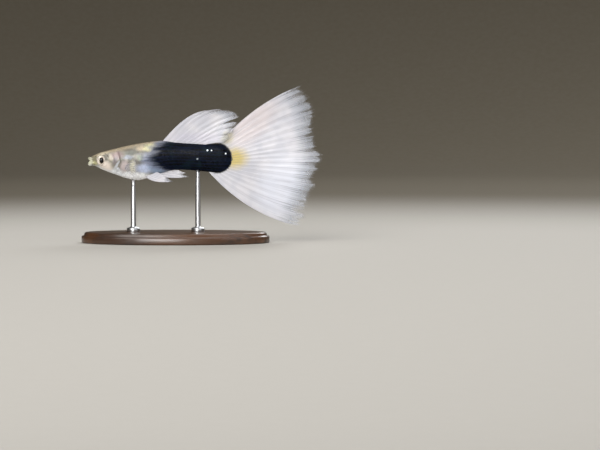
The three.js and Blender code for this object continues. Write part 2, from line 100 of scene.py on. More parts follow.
lens = bpy.data.cameras.new("camera")
lens.lens = 135.0
lens.sensor_width = 36.0
lens.clip_start = 0.01
reach = PICTURE[0] * lens.lens / lens.sensor_width * PIXEL
aim = to_frame(
    [(PICTURE[0] / 2 - SNOUT_COLUMN) * PIXEL, 0, (AXIS_ROW - PICTURE[1] / 2) * PIXEL]
)
camera = placed("camera", lens)
camera.location = (
    aim[0],
    -reach * math.cos(TIP_DOWN) * MM,
    aim[2] + reach * math.sin(TIP_DOWN) * MM,
)
camera.rotation_euler = (math.pi / 2 - TIP_DOWN, 0, 0)
bpy.context.scene.camera = camera
print("camera", round(reach), "mm away,", round(camera.location.z / MM, 1), "mm up")

# %% [markdown]
# ## The body's shape
#
# The body is one loft, as in the solids: a row of stations gives the height of back
# and belly, the width and how square the back is, and a smooth curve runs through
# them. Each cross-section is a rounded square, so one formula gives any point of it.

# %% Stations, in hundredths of the standard length
# distance behind the snout, back, belly, half width, squareness of the back
STATIONS = np.array([
    [1.2, 0.3, -3.9, 2.3, 2.3],
    [2.8, 1.5, -4.7, 3.3, 2.4],
    [5.0, 2.7, -5.2, 4.1, 2.5],
    [9.0, 4.2, -7.2, 5.2, 2.7],
    [12.6, 5.2, -8.7, 6.0, 2.7],
    [18.4, 6.8, -10.9, 6.7, 2.5],
    [24.9, 8.4, -13.3, 7.0, 2.3],
    [31.6, 9.8, -14.9, 6.9, 2.1],
    [36.9, 10.8, -15.1, 6.7, 2.0],
    [45.6, 12.0, -12.3, 6.1, 2.0],
    [51.9, 12.5, -10.1, 5.6, 2.0],
    [61.2, 11.3, -8.1, 4.7, 2.0],
    [75.0, 10.4, -8.6, 3.7, 2.0],
    [87.2, 10.4, -9.8, 2.7, 2.0],
    [102.0, 10.9, -10.5, 1.4, 2.0],
])
BACK, BELLY, HALF_WIDTH, SQUARENESS = 1, 2, 3, 4
WIDEST_SHARE = 0.52  # height of the widest level, from the belly up
BELLY_SQUARENESS = 2.0
BODY_FRONT = STATIONS[0][0] * UNIT


def smoothstep(low, high, x):
    t = np.clip((x - low) / (high - low), 0, 1)
    return t * t * (3 - 2 * t)


def between(pair, share):
    return pair[0] + (pair[1] - pair[0]) * share


def circle(sides):
    return np.linspace(0, 2 * np.pi, sides, endpoint=False)


def upright(way):
    """Unit vectors along a way, up from it and out of its side."""
    way = way / np.linalg.norm(way, axis=-1, keepdims=True)
    up = np.array([0, 0, 1.0]) - way * way[..., 2:]
    up /= np.linalg.norm(up, axis=-1, keepdims=True)
    return way, up, np.cross(way, up)


def along(rows, x, column):
    """A smooth curve through rows of numbers, read at x, the rows' first column."""
    places = rows[:, 0]
    values = rows[:, column]
    last = len(places) - 1
    before = np.maximum(np.arange(last + 1) - 1, 0)
    after = np.minimum(np.arange(last + 1) + 1, last)
    slopes = (values[after] - values[before]) / (places[after] - places[before])
    i = np.clip(np.searchsorted(places, x) - 1, 0, last - 1)
    run = places[i + 1] - places[i]
    t = np.clip((x - places[i]) / run, 0, 1)
    start = 2 * t**3 - 3 * t**2 + 1
    return (
        start * values[i]
        + (1 - start) * values[i + 1]
        + (t**3 - 2 * t**2 + t) * run * slopes[i]
        + (t**3 - t**2) * run * slopes[i + 1]
    )


def body_at(x, column):
    """One of the stations' measures at x, in millimetres."""
    return along(STATIONS, x / UNIT, column) * UNIT


# %% A point of the body's surface
GILL_Z = -0.9  # where the gill cover reaches furthest back
GILL_X = 7.4
GILL_RISE = 3.3
GILL_DROP = 3.2
NAPE_X = 5.6
THROAT_X = 3.7
GILL_FLARE = 0.1  # how far the cover's rear edge stands out
FLARE_FROM = 4.2


def body_points(x, turn, grow=0.0, flare=0.0):
    """Points on the body. Turn 0 is the back, a half the belly, a quarter +Y."""
    top = body_at(x, BACK)
    bottom = body_at(x, BELLY)
    level = bottom + (top - bottom) * WIDEST_SHARE
    across = np.sin(2 * np.pi * turn)
    up = np.cos(2 * np.pi * turn)
    square = np.where(up > 0, along(STATIONS, x / UNIT, SQUARENESS), BELLY_SQUARENESS)
    half = body_at(x, HALF_WIDTH) + flare * smoothstep(FLARE_FROM, GILL_X, x) + grow
    height = np.where(up > 0, top - level, level - bottom) + grow
    return np.stack(
        [
            x + 0 * turn,
            half * np.sign(across) * np.abs(across) ** (2 / square),
            level + height * np.sign(up) * np.abs(up) ** (2 / square),
        ],
        axis=-1,
    )


def gill_edge(z):
    """How far behind the snout the gill cover ends, at a height."""
    reach_here = np.where(z > GILL_Z, GILL_RISE, GILL_DROP)
    end = np.where(z > GILL_Z, NAPE_X, THROAT_X)
    share = np.minimum(1, np.abs(z - GILL_Z) / reach_here)
    return end + (GILL_X - end) * np.sqrt(1 - share**2)


places = np.linspace(2, 31, 200)
depth = body_at(places, BACK) - body_at(places, BELLY)
print("deepest, mm:", round(depth.max(), 2), "at", round(places[depth.argmax()], 1))

# %% [markdown]
# ## A short hand for nodes
#
# Materials and Geometry Nodes are both trees of nodes joined by links. Writing each
# node out takes four lines, so a small class lays one in a single call and gives back
# its output, which the next call can take as its input.

# %% Colours, and a class that lays nodes
FLAT = 1000.0  # a half size so large that the place across the fish does not count
PATCH_SOFT = (1.15, 0.35)  # where a patch begins and where it is full, in half sizes


def colour(text):
    """A colour written as on screen, such as c8bfa9, in the linear light of a shader."""
    shares = [int(text[i : i + 2], 16) / 255 for i in (0, 2, 4)]
    linear = [s / 12.92 if s <= 0.04045 else ((s + 0.055) / 1.055) ** 2.4 for s in shares]
    return (*linear, 1.0)


class Sheet:
    """Lays nodes in a tree. Each call gives back an output, to link further on."""

    def __init__(self, tree):
        self.tree = tree

    def add(self, kind, inputs=None, output=0, **settings):
        node = self.tree.nodes.new(kind)
        for name, value in settings.items():
            setattr(node, name, value)
        self.fill(node.inputs, inputs or {})
        return node.outputs[output]

    def fill(self, sockets, values):
        """Links each socket to an output, or sets it to a constant."""
        for key, value in values.items():
            if isinstance(value, bpy.types.NodeSocket):
                self.tree.links.new(value, sockets[key])
            else:
                sockets[key].default_value = value

    def group(self, tree, values=None):
        """Places a shader group and gives its outputs."""
        return self.add("ShaderNodeGroup", values, node_tree=tree).node.outputs

    def math(self, operation, a, b=0.0, clamp=False):
        return self.add("ShaderNodeMath", {0: a, 1: b}, operation=operation, use_clamp=clamp)

    def plus(self, a, b, clamp=False):
        return self.math("ADD", a, b, clamp)

    def minus(self, a, b, clamp=False):
        return self.math("SUBTRACT", a, b, clamp)

    def times(self, a, b):
        return self.math("MULTIPLY", a, b)

    def ramp(self, value, low, high, bottom=0.0, top=1.0):
        """Goes smoothly from bottom to top as value goes from low to high."""
        return self.add(
            "ShaderNodeMapRange",
            {0: value, 1: low, 2: high, 3: bottom, 4: top},
            interpolation_type="SMOOTHSTEP",
        )

    def vector(self, operation, a, b=(0, 0, 0), output=0):
        return self.add("ShaderNodeVectorMath", {0: a, 1: b}, output, operation=operation)

    def scale(self, vector, by):
        return self.add("ShaderNodeVectorMath", {0: vector, "Scale": by}, operation="SCALE")

    def length(self, vector):
        return self.vector("LENGTH", vector, output="Value")

    def parts(self, vector):
        """The x, y and z of a vector."""
        return tuple(self.add("ShaderNodeSeparateXYZ", {0: vector}).node.outputs)

    def point(self, x, y, z=0.0):
        return self.add("ShaderNodeCombineXYZ", {0: x, 1: y, 2: z})

    def mix(self, share, a, b):
        """A mix of two colours, each an output or a colour's text."""
        a, b = [colour(c) if isinstance(c, str) else c for c in (a, b)]
        return self.add("ShaderNodeMix", {0: share, 6: a, 7: b}, 2, data_type="RGBA")

    def over(self, tone, paint, value, low, high, strength=1.0):
        """Lays a colour over a tone, more and more as value goes from low to high."""
        return self.mix(self.ramp(value, low, high, 0.0, strength), tone, paint)

    def here(self):
        return self.add("ShaderNodeTexCoord", output="Object")

    def attribute(self, name, output="Fac"):
        return self.add("ShaderNodeAttribute", {}, output, attribute_name=name)

    def noise(self, vector, scale, detail=2.0, stretch=None, output=0):
        if stretch:
            vector = self.vector("MULTIPLY", vector, stretch)
        values = {"Vector": vector, "Scale": scale, "Detail": detail}
        return self.add("ShaderNodeTexNoise", values, output)

    def cells(self, vector, scale):
        """The distance from the middles of irregular cells."""
        values = {"Vector": vector, "Scale": scale}
        return self.add("ShaderNodeTexVoronoi", values, "Distance", feature="F1")

    def bump(self, height, strength, distance):
        values = {"Height": height, "Strength": strength, "Distance": distance}
        return self.add("ShaderNodeBump", values)

    def ellipse(self, where, centre, half, turn=0.0):
        """A place in the side view, from an ellipse's middle and in its half sizes."""
        return self.add(
            "ShaderNodeMapping",
            {
                "Vector": where,
                "Location": (centre[0], 0, centre[1]),
                "Rotation": (0, math.radians(turn), 0),
                "Scale": (half[0], FLAT, half[1]),
            },
            vector_type="TEXTURE",
        )

    def patches(self, tone, where, rows, soft=PATCH_SOFT):
        """Lays soft ellipses of colour over a tone, in order."""
        for name, centre, half, turn, paint, strength in rows:
            away = self.length(self.ellipse(where, centre, half, turn))
            tone = self.over(tone, paint, away, *soft, strength)
            tone.node.label = name
        return tone

    def step(self, kind, mesh, values=None, **settings):
        """Sends a mesh through one more geometry node."""
        return self.add("GeometryNode" + kind, {"Geometry": mesh, **(values or {})}, **settings)

    def stored(self, mesh, name, value, kind="FLOAT_VECTOR", domain="POINT"):
        """The mesh with values kept on it under a name."""
        values = {"Name": name, "Value": value}
        return self.step("StoreNamedAttribute", mesh, values, data_type=kind, domain=domain)


    def named(self, name, kind="FLOAT_VECTOR"):
        return self.add("GeometryNodeInputNamedAttribute", {"Name": name}, data_type=kind)

    def chance(self, low, high, seed):
        values = {2: low, 3: high, "Seed": seed}
        return self.add("FunctionNodeRandomValue", values, 1, data_type="FLOAT")


def node_group(name, kind, inputs, outputs):
    """An empty group with named sockets: its sheet, its inputs and its outputs."""
    tree = bpy.data.node_groups.new(name, kind)
    for way, sockets in (("OUTPUT", outputs), ("INPUT", inputs)):
        for label, sort in sockets.items():
            tree.interface.new_socket(label, in_out=way, socket_type=f"NodeSocket{sort}")
    entry = tree.nodes.new("NodeGroupInput").outputs
    leaving = tree.nodes.new("NodeGroupOutput").inputs
    return Sheet(tree), entry, leaving


def material(name):
    """A new material: its sheet, the inputs of its Principled BSDF, and itself."""
    made = bpy.data.materials.new(name)
    made.use_nodes = True
    return Sheet(made.node_tree), made.node_tree.nodes["Principled BSDF"].inputs, made


# %% [markdown]
# ## Places on the fish, for its colours
#
# Every marking is painted by its place, so that skin, scales and fins agree where they
# meet. This group turns Blender's object coordinates back into the fish's measure, and
# a second output is the same place shaken a little by noise, which makes the edges of
# a painted patch as uneven as living colour.

# %% The group that gives the place
sheet, entry, leaving = node_group(
    "place_on_fish", "ShaderNodeTree", {"Shake": "Float"}, {"Place": "Vector", "Shaken": "Vector"}
)
place = sheet.add(
    "ShaderNodeMapping",
    {"Vector": sheet.here(), "Location": (BASE_CENTRE, 0, -AXIS_HEIGHT), "Scale": (1 / MM,) * 3},
)
shake = sheet.vector("SUBTRACT", sheet.noise(place, 0.9, 3.0, output="Color"), (0.5,) * 3)
shaken = sheet.vector("ADD", place, sheet.scale(shake, entry["Shake"]))
sheet.fill(leaving, {"Place": place, "Shaken": shaken})
place_on_fish = sheet.tree
print("group:", place_on_fish.name)

# %% [markdown]
# ## Markings
#
# The front half is a translucent cream and silver skin: a tan back, a white belly,
# mauve gills that show through behind the eye, and patches of silver, yellow, olive
# and lilac, with a painted shadow along the upper rear rim of the eye socket. The rear
# half is black with a blue cast, and its front edge runs forward at mid-height. The
# patches are soft ellipses laid over each other in order.

# %% The patches of the front half
# name, centre (x, z), half sizes, turn in degrees, colour, strength
PATCHES = [
    ("snout", (1.9, -0.4), (1.7, 1.3), 0, "7f7a60", 0.8),
    ("lips", (0.3, -0.6), (0.9, 1.4), 0, "cccbb2", 0.95),
    ("chin", (1.7, -1.0), (0.9, 0.5), 20, "bdb98c", 0.7),
    ("brow", (3.4, 1.1), (1.7, 0.45), -14, "c9bfa6", 0.6),
    ("cheek", (4.1, -1.6), (2.0, 1.3), 24, "e9dcd0", 0.9),
    # a painted shadow along the upper rear rim of the eye socket
    ("painted_socket_shadow", (4.25, 0.8), (0.85, 0.17), 42, "6b6157", 0.8),
    ("temple", (5.4, 0.3), (0.8, 0.9), 0, "c9bda8", 0.8),
    ("gills", (6.7, 0.75), (1.7, 1.1), -12, "94807f", 0.85),
    ("gill_dark", (6.2, -0.5), (0.6, 1.2), 28, "7d7379", 0.6),
    ("gill_silver", (6.6, -1.5), (0.4, 1.3), 30, "c9ccd4", 0.7),
    ("gill_low", (6.9, -2.3), (0.5, 0.5), 0, "dde0e8", 0.8),
    ("shoulder", (9.7, 1.3), (1.8, 0.5), -10, "7c7f78", 0.85),
    ("silver", (9.2, 0.35), (1.4, 0.6), -8, "949ba8", 0.75),
    ("breast", (8.3, -1.7), (1.1, 1.7), 8, "c2b4b4", 0.8),
    ("cream", (10.1, -2.1), (0.85, 1.9), 4, "d8d4b0", 0.9),
    ("peach", (11.9, 2.3), (1.2, 0.8), -14, "c5b59b", 0.8),
    ("yellow", (13.8, 2.5), (1.7, 0.95), -20, "e2dba6", 0.95),
    ("olive", (12.0, 0.2), (1.0, 0.8), 0, "7f8966", 0.7),
    ("haze", (14.0, -0.8), (2.7, 2.2), 20, "848a9c", 0.8),
    ("lilac", (12.5, -2.3), (2.3, 1.3), 4, "bcc6e0", 0.85),
    ("belly", (10.8, -4.2), (4.6, 1.4), 2, "fdfeff", 1.0),
    ("slate", (15.7, -2.6), (2.9, 1.1), 14, "8496b0", 0.9),
]
BACK_LINE = (0.55, 0.235)  # height of the back's tan band at the snout, and its slope
BELLY_LINE = (-1.5, -0.2)

sheet, entry, leaving = node_group(
    "guppy_markings", "ShaderNodeTree", {}, {"Colour": "Color", "Black": "Float", "Silver": "Float"}
)
steady, shaken = sheet.group(place_on_fish, {"Shake": 0.9})
x, z = sheet.parts(shaken)[::2]
over_back, over_belly = [
    sheet.minus(z, sheet.plus(sheet.times(x, slope), start))
    for start, slope in (BACK_LINE, BELLY_LINE)
]
cloud = sheet.noise(steady, 0.8, 3.0)
tone = sheet.mix(sheet.ramp(cloud, 0.35, 0.68), "6f6c63", "878479")
tone = sheet.over(tone, "9d8f77", over_back, -1.0, 0.0)
tone = sheet.over(tone, "f4f8fc", over_belly, 0.9, -0.5)
tone = sheet.patches(tone, shaken, PATCHES)
print(len(PATCHES), "patches painted")

# %% The black half, with its rows of blue and green, and the specks on the back
BLACK_FROM = 14.1  # where the black begins at mid-height
BLACK_LEVEL = 0.3  # the height where it reaches furthest forward
BLACK_BEND = (0.5, 0.26)  # how it falls back below and above
BLACK_SOFT = 1.6
STREAK = (0.17, 0.5, 1.5)  # the rows run along the fish
STREAK_REACH = 0.75  # how far they run ahead of the black's edge, or stay behind it

lifted = sheet.minus(z, BLACK_LEVEL)
bend_share = sheet.ramp(lifted, -0.4, 0.4, *BLACK_BEND)
front = sheet.plus(sheet.times(sheet.times(lifted, lifted), bend_share), BLACK_FROM)
rows = sheet.noise(steady, 1.0, 2.0, STREAK)
run_ahead = sheet.ramp(rows, 0.3, 0.7, -STREAK_REACH, STREAK_REACH)
behind = sheet.plus(sheet.minus(x, front), run_ahead)
black = sheet.ramp(behind, -BLACK_SOFT, BLACK_SOFT)
night = sheet.mix(sheet.ramp(rows, 0.42, 0.66), "020408", "081020")
night = sheet.over(night, "0a1a1f", sheet.noise(steady, 0.45, 2.0), 0.5, 0.72, 0.7)
tone = sheet.over(tone, "6d748a", behind, -3.2, -0.4, 0.75)
on_back = sheet.ramp(over_back, -2.4, 0.2, 0.0, 0.55)
speck = sheet.times(sheet.ramp(sheet.cells(steady, 6.5), 0.34, 0.2), on_back)
tone = sheet.mix(speck, tone, "6a604d")
silver = sheet.ramp(cloud, 0.45, 0.7)
sheet.fill(leaving, {"Colour": sheet.mix(black, tone, night), "Black": black, "Silver": silver})
guppy_markings = sheet.tree
print("group:", guppy_markings.name)

# %% [markdown]
# ## Skin and scale finish
#
# Wet skin is glossy over a soft colour, which a clear coat over a rougher base gives.
# Guanine under the skin makes it silvery, so part of the pale half is a little
# metallic. The scales wear the same markings, with a darker rim on each, the growth
# rings as bump, and a chance for a scale near the tail stem to carry a painted
# highlight, a small bright metallic spot.

# %% The two materials
SKIN_BUMP = 0.00004
RING_COUNT = 70.0
# A few black scales near the tail stem carry a painted highlight, a small bright metallic spot: the
# share of scales that have one, and where along the fish they begin.
PAINTED_HIGHLIGHT_SHARE = 0.93  # scales whose own number is above this glint
PAINTED_HIGHLIGHT_FROM = (23.5, 25.5)  # behind the snout, none at first and all at last

sheet, sockets, skin_finish = material("wet_skin")
marks = sheet.group(guppy_markings)
pores = sheet.noise(sheet.group(place_on_fish)["Place"], 5.0, 4.0)
sheet.fill(sockets, {
    "Base Color": marks["Colour"],
    "Metallic": sheet.times(marks["Silver"], 0.25),
    "Roughness": sheet.ramp(pores, 0.3, 0.7, 0.3, 0.45),
    "Normal": sheet.bump(pores, 0.5, SKIN_BUMP),
    "Coat Weight": sheet.minus(0.6, sheet.times(marks["Black"], 0.54)),
    "Coat Roughness": 0.12,
    "Specular IOR Level": 0.12,
})

sheet, sockets, scale_finish = material("wet_scales")
marks = sheet.group(guppy_markings)
black = marks["Black"]
patch = sheet.attribute("patch", "Vector")
from_middle = sheet.length(patch)
own = sheet.attribute("own_number")
rearward = sheet.parts(sheet.group(place_on_fish)["Place"])[0]
tint = sheet.over(marks["Colour"], "5f5e5a", from_middle, 0.75, 1.0, 0.2)
tint = sheet.mix(sheet.times(black, 0.9), tint, marks["Colour"])
side_on = sheet.math("ABSOLUTE", sheet.parts(patch)[1])
seam = sheet.times(sheet.ramp(side_on, 0.3, 0.75, 0.0, 0.7), black)
tint = sheet.mix(seam, tint, "0e1730")
# painted highlight: a bright, metallic spot in the middle of a few black scales towards the tail
# stem
painted_highlight = sheet.math("GREATER_THAN", own, PAINTED_HIGHLIGHT_SHARE)
for share in (sheet.ramp(rearward, *PAINTED_HIGHLIGHT_FROM), sheet.ramp(from_middle, 0.36, 0.2), black):
    painted_highlight = sheet.times(painted_highlight, share)
rings = sheet.math("SINE", sheet.times(from_middle, RING_COUNT))
sheet.fill(sockets, {
    "Base Color": sheet.mix(painted_highlight, tint, "dbe6ee"),
    "Metallic": sheet.plus(sheet.times(marks["Silver"], 0.2), painted_highlight),
    "Roughness": sheet.ramp(own, 0.0, 1.0, 0.26, 0.46),
    "Normal": sheet.bump(rings, 0.22, SKIN_BUMP / 8),
    "Coat Weight": sheet.minus(0.35, sheet.times(black, 0.33)),
    "Coat Roughness": 0.1,
    "Specular IOR Level": 0.07,
})
print("materials:", skin_finish.name, scale_finish.name)

# %% [markdown]
# ## Skin
#
# On the fish one skin runs from lips to tail, so three closed forms are made and
# melted together: the trunk, drawn in by the depth of the scales, the head with its
# gill covers standing a little out, and the lips. Blender's voxel remesh fuses forms
# that overlap into a single even surface, at the price of a fine grid of faces. It is
# done in millimetres, because its smallest voxel is a tenth of a unit.

# %% Closed forms from rings
SCALE_DEPTH = 0.07  # the skin lies this far inside the solids, under the scales
STEM_RADIUS = 3.26  # of the tail stem's round end in the side view
STEM_CENTRE = (STANDARD_LENGTH - STEM_RADIUS, 0.1)
RING_SIDES = 96
BODY_STEP = 0.15
EDGE_GAP = 0.02  # the last ring stops this far short of a form's sharp edge
TRUNK_FRONT = BODY_FRONT + 1.0
NO_LIMIT = 99.0


def loft(rings):
    """Rings of points joined into a closed form, as points and faces."""
    count, sides = rings.shape[:2]
    index = np.arange(count * sides).reshape(count, sides)
    beside = np.roll(index, -1, axis=1)
    quads = np.stack([index[:-1], index[1:], beside[1:], beside[:-1]], axis=-1)
    faces = quads.reshape(-1, 4).tolist()
    return rings.reshape(-1, 3), faces + [index[0].tolist(), index[-1][::-1].tolist()]


def grid(rows, columns):
    """The number of each point of a grid, and the faces between them."""
    index = np.arange(rows * columns).reshape(rows, columns)
    quads = np.stack([index[:-1, :-1], index[1:, :-1], index[1:, 1:], index[:-1, 1:]], axis=-1)
    return index, quads.reshape(-1, 4)


def make_mesh(name, points, faces, outward=True):
    """A mesh from points and faces, turned to face outwards."""
    mesh = bpy.data.meshes.new(name)
    mesh.from_pydata(np.asarray(points, float).tolist(), [], list(faces))
    if outward:
        shell = bmesh.new()
        shell.from_mesh(mesh)
        bmesh.ops.recalc_face_normals(shell, faces=shell.faces)
        shell.to_mesh(mesh)
        shell.free()
    mesh.polygons.foreach_set("use_smooth", np.ones(len(mesh.polygons), bool))
    return mesh


def keep(mesh, name, values, kind="FLOAT", field="value"):
    """Keeps values on the points of a mesh, for a material or a tree to read."""
    attribute = mesh.attributes.new(name, kind, "POINT")
    attribute.data.foreach_set(field, np.asarray(values, np.float32).ravel())


def joined(forms):
    """Several forms as one list of points and one of faces."""
    points, faces, start = [], [], 0
    for some, theirs in forms:
        points.append(some)
        faces += [[start + corner for corner in face] for face in theirs]
        start += len(some)
    return np.concatenate(points), faces


def body_form(start, end, grow, flare, limit):
    """The body's loft from start to end, with each ring kept between its limits."""
    x = np.append(np.arange(start, end, BODY_STEP), end)[:, None]
    turn = (np.arange(RING_SIDES) / RING_SIDES)[None, :]
    rings = body_points(x, turn, grow, flare)
    rings[..., 2] = np.clip(rings[..., 2], limit(x, -1), limit(x, 1))
    return loft(rings)


def round_end(x, side):
    """The height of the tail stem's round end, above (1) or below (-1)."""
    behind = np.clip((x - STEM_CENTRE[0]) / STEM_RADIUS, 0, 1)
    rise = STEM_RADIUS * np.sqrt(1 - behind**2)
    return np.where(x > STEM_CENTRE[0], STEM_CENTRE[1] + side * rise, side * NO_LIMIT)


def cover_end(x, side):
    """The height of the gill cover's edge, above (1) or below (-1)."""
    start, rise = (NAPE_X, GILL_RISE) if side > 0 else (THROAT_X, GILL_DROP)
    behind = np.clip((x - start) / (GILL_X - start), 0, 1)
    edge = GILL_Z + side * rise * np.sqrt(1 - behind**2)
    return np.where(x > start, edge, side * NO_LIMIT)


trunk_form = body_form(TRUNK_FRONT, STANDARD_LENGTH - EDGE_GAP, -SCALE_DEPTH, 0, round_end)
head_form = body_form(BODY_FRONT, GILL_X - EDGE_GAP, 0, GILL_FLARE, cover_end)
print("trunk and head:", len(trunk_form[0]), "and", len(head_form[0]), "points")

# %% The lips
LIP_REACH = 1.15  # front of the lips to the mouth's corner
LIP_HALF_WIDTH = 0.98
LIP_SWEEP = math.radians(84)
LIP_TAPER = 0.42
UPPER_LIP = (0.36, 0.0, 0.36, -0.25)  # front, height, radius and lift at the corner
LOWER_LIP = (0.48, -1.16, 0.5, 0.2)


def lip_form(front, height, radius, lift):
    """A round bar bent about the snout, thinner at the corners of the mouth."""
    side = np.linspace(-1, 1, 41)
    back = 1 - np.cos(side * LIP_SWEEP)
    across = LIP_HALF_WIDTH * np.sin(side * LIP_SWEEP)
    line = np.stack([front + LIP_REACH * back, across, height + lift * back], axis=-1)
    way, up, out = upright(np.gradient(line, axis=0))
    turn = circle(24)
    thick = (radius * (1 - LIP_TAPER * side**2))[:, None, None]
    round_it = up[:, None] * np.cos(turn)[:, None] + out[:, None] * np.sin(turn)[:, None]
    return loft(line[:, None] + thick * round_it)


# %% Melt the forms together and cut the mouth, the eye sockets and the nostrils
VOXEL = 0.1
EYE_CENTRE = (3.2, -0.38)
EYE_RADIUS = 1.16
EYE_DEPTH = 0.66  # half the eyeball's thickness across the fish
EYE_BULGE = 0.26
SOCKET_ROOM = 0.03
NOSTRIL = (1.75, 0.155)  # behind the snout, turn
NOSTRIL_RADIUS = 0.16
MOUTH = (BODY_FRONT, 0, -0.47)
MOUTH_HALF = (1.1, 0.85, 0.15)  # depth, width and height of the cut


def ball(sides, rows, gap=0.02):
    """The rings of a ball with a radius of one. Its poles point across the fish."""
    turn = circle(sides)[None, :]
    fall = np.linspace(gap, np.pi - gap, rows)[:, None]
    return np.stack(
        [np.sin(fall) * np.cos(turn), np.cos(fall) + 0 * turn, np.sin(fall) * np.sin(turn)],
        axis=-1,
    )


def ball_form(centre, half, sides=24):
    return loft(ball(sides, sides // 2) * half + centre)


def eye_middle(side):
    out = body_at(EYE_CENTRE[0], HALF_WIDTH) + EYE_BULGE - EYE_DEPTH
    return np.array([EYE_CENTRE[0], side * out, EYE_CENTRE[1]])


def taken(carrier):
    """The carrier's mesh with its modifier applied. The carrier is removed."""
    depsgraph = bpy.context.evaluated_depsgraph_get()
    made = bpy.data.meshes.new_from_object(carrier.evaluated_get(depsgraph))
    bpy.data.objects.remove(carrier)
    return made


def shaped(mesh, kind, **settings):
    """The mesh after one modifier."""
    carrier = placed("carrier", mesh)
    modifier = carrier.modifiers.new("shape", kind)
    for name, value in settings.items():
        setattr(modifier, name, value)
    return taken(carrier)


lips = [lip_form(*UPPER_LIP), lip_form(*LOWER_LIP)]
body = make_mesh("body", *joined([trunk_form, head_form, *lips]))
body = shaped(body, "REMESH", mode="VOXEL", voxel_size=VOXEL)
body = shaped(body, "SMOOTH", factor=0.5, iterations=2)
room = np.array([EYE_RADIUS, EYE_DEPTH, EYE_RADIUS]) + SOCKET_ROOM
cuts = [ball_form(MOUTH, MOUTH_HALF)]
for side in (-1, 1):
    nostril = body_points(np.array(NOSTRIL[0]), np.array(NOSTRIL[1])) * (1, side, 1)
    cuts.append(ball_form(nostril, NOSTRIL_RADIUS))
    cuts.append(ball_form(eye_middle(side), room, 64))
cutter = placed("cutter", make_mesh("cutter", *joined(cuts)))
body = shaped(body, "BOOLEAN", operation="DIFFERENCE", object=cutter, solver="EXACT")
bpy.data.objects.remove(cutter)
print("skin:", len(body.vertices), "points")

# %% [markdown]
# ## Relief on the head
#
# Small forms are pushed out of the surface or pressed into it along its own normal:
# the rim of the eye socket, the crease behind it, the edge of the cheek bone that runs
# along the gill cover, and the line of the jaw. Behind, the tail stem thins towards
# its round edge, where the fin's rays take over.

# %% Push the relief out of the surface
# a form's distance, width and height
RIM = (1.34, 0.15, 0.07)  # from the eye's middle
CREASE = (1.62, 0.09, -0.06)
CHEEK = (1.45, 0.12, -0.05)  # ahead of the gill cover's edge
COVER = (0.25, 0.22, 0.03)
JAW = (0, 0.1, -0.05)  # from the jaw's line
# where a form fades in and out again
CREASE_SECTOR = (math.radians(10) - 0.3, math.radians(10), math.radians(85), math.radians(85) + 0.4)
CHEEK_BAND = (-3.2, -2.4, 0.6, 1.4)
JAW_BAND = (1.2, 1.6, 3.2, 4.4)
JAW_LINE = (-0.788, -0.33)  # height at the snout, and slope
PINCH_FROM = 2.2  # distance from the stem's centre where it starts to thin
PINCH = 0.72


def pinched(points):
    """Points of the body, thinned towards the tail stem's round edge."""
    points = points.copy()
    away = np.hypot(points[..., 0] - STEM_CENTRE[0], points[..., 2] - STEM_CENTRE[1])
    share = smoothstep(PINCH_FROM, STEM_RADIUS + 0.1, away)
    share = share * smoothstep(STEM_CENTRE[0] - 1.0, STEM_CENTRE[0] + 1.4, points[..., 0])
    points[..., 1] *= 1 - PINCH * share
    return points


def ridge(distance, middle, width, height):
    return height * np.exp(-(((distance - middle) / width) ** 2))


def band(x, start, full, last, end):
    """One between full and last, and nothing before start and after end."""
    return smoothstep(start, full, x) * (1 - smoothstep(last, end, x))


def head_relief(points, normals):
    """How far each point of the skin moves along its normal, in millimetres."""
    x, y, z = points.T
    from_eye = np.hypot(x - EYE_CENTRE[0], z - EYE_CENTRE[1])
    angle = np.arctan2(z - EYE_CENTRE[1], x - EYE_CENTRE[0])
    ahead = gill_edge(z) - x
    from_jaw = z - JAW_LINE[0] - JAW_LINE[1] * x
    move = ridge(from_eye, *RIM) + band(angle, *CREASE_SECTOR) * ridge(from_eye, *CREASE)
    move += band(z, *CHEEK_BAND) * (ridge(ahead, *CHEEK) + ridge(ahead, *COVER))
    move += band(x, *JAW_BAND) * ridge(from_jaw, *JAW)
    return move * smoothstep(0.25, 0.55, np.abs(normals[:, 1]))  # only on the flanks


def rows_of(items, field):
    """A field of three numbers, read from each item of a mesh."""
    values = np.empty(len(items) * 3, np.float32)
    items.foreach_get(field, values)
    return values.reshape(-1, 3).astype(float)


def add_piece(name, mesh, finish=None, nodes=()):
    """An object for a finished mesh, riding on the model and standing for its nodes."""
    piece = placed(name, mesh)
    mesh.name = name
    if finish:
        mesh.materials.clear()
        mesh.materials.append(finish)
    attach(piece, "root")
    if nodes:
        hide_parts(*nodes)
    print(name, sum(len(face.vertices) - 2 for face in mesh.polygons), "triangles")


points = rows_of(body.vertices, "co")
normals = rows_of(body.vertex_normals, "vector")
points = pinched(points + normals * head_relief(points, normals)[:, None])
body.vertices.foreach_set("co", to_frame(points).ravel())
body.polygons.foreach_set("use_smooth", np.ones(len(body.polygons), bool))
body.update()
add_piece("guppy_skin", body, skin_finish, ["head", "trunk", "tail_stem"])

# %% [markdown]
# ## Scales
#
# A guppy has 26 to 28 scales in a row from gill to tail, and about 20 rows round the
# body, each row half a scale ahead of the next. It is easier to lay them flat: on an
# unwrapped body a scale is a point, so Python chooses the points, and Geometry Nodes
# set a thin scale on each, then wrap the whole sheet round the body by looking up
# every point of it on a guide surface that carries the same unwrap.

# %% The guide surface, unwrapped by length along the fish and round it
GUIDE_FRONT = 3.6
GUIDE_END = 32.6
GUIDE_LENGTH = GUIDE_END - GUIDE_FRONT
GUIDE_ROWS = 180
GUIDE_SIDES = 96
FINE_SIDES = 720


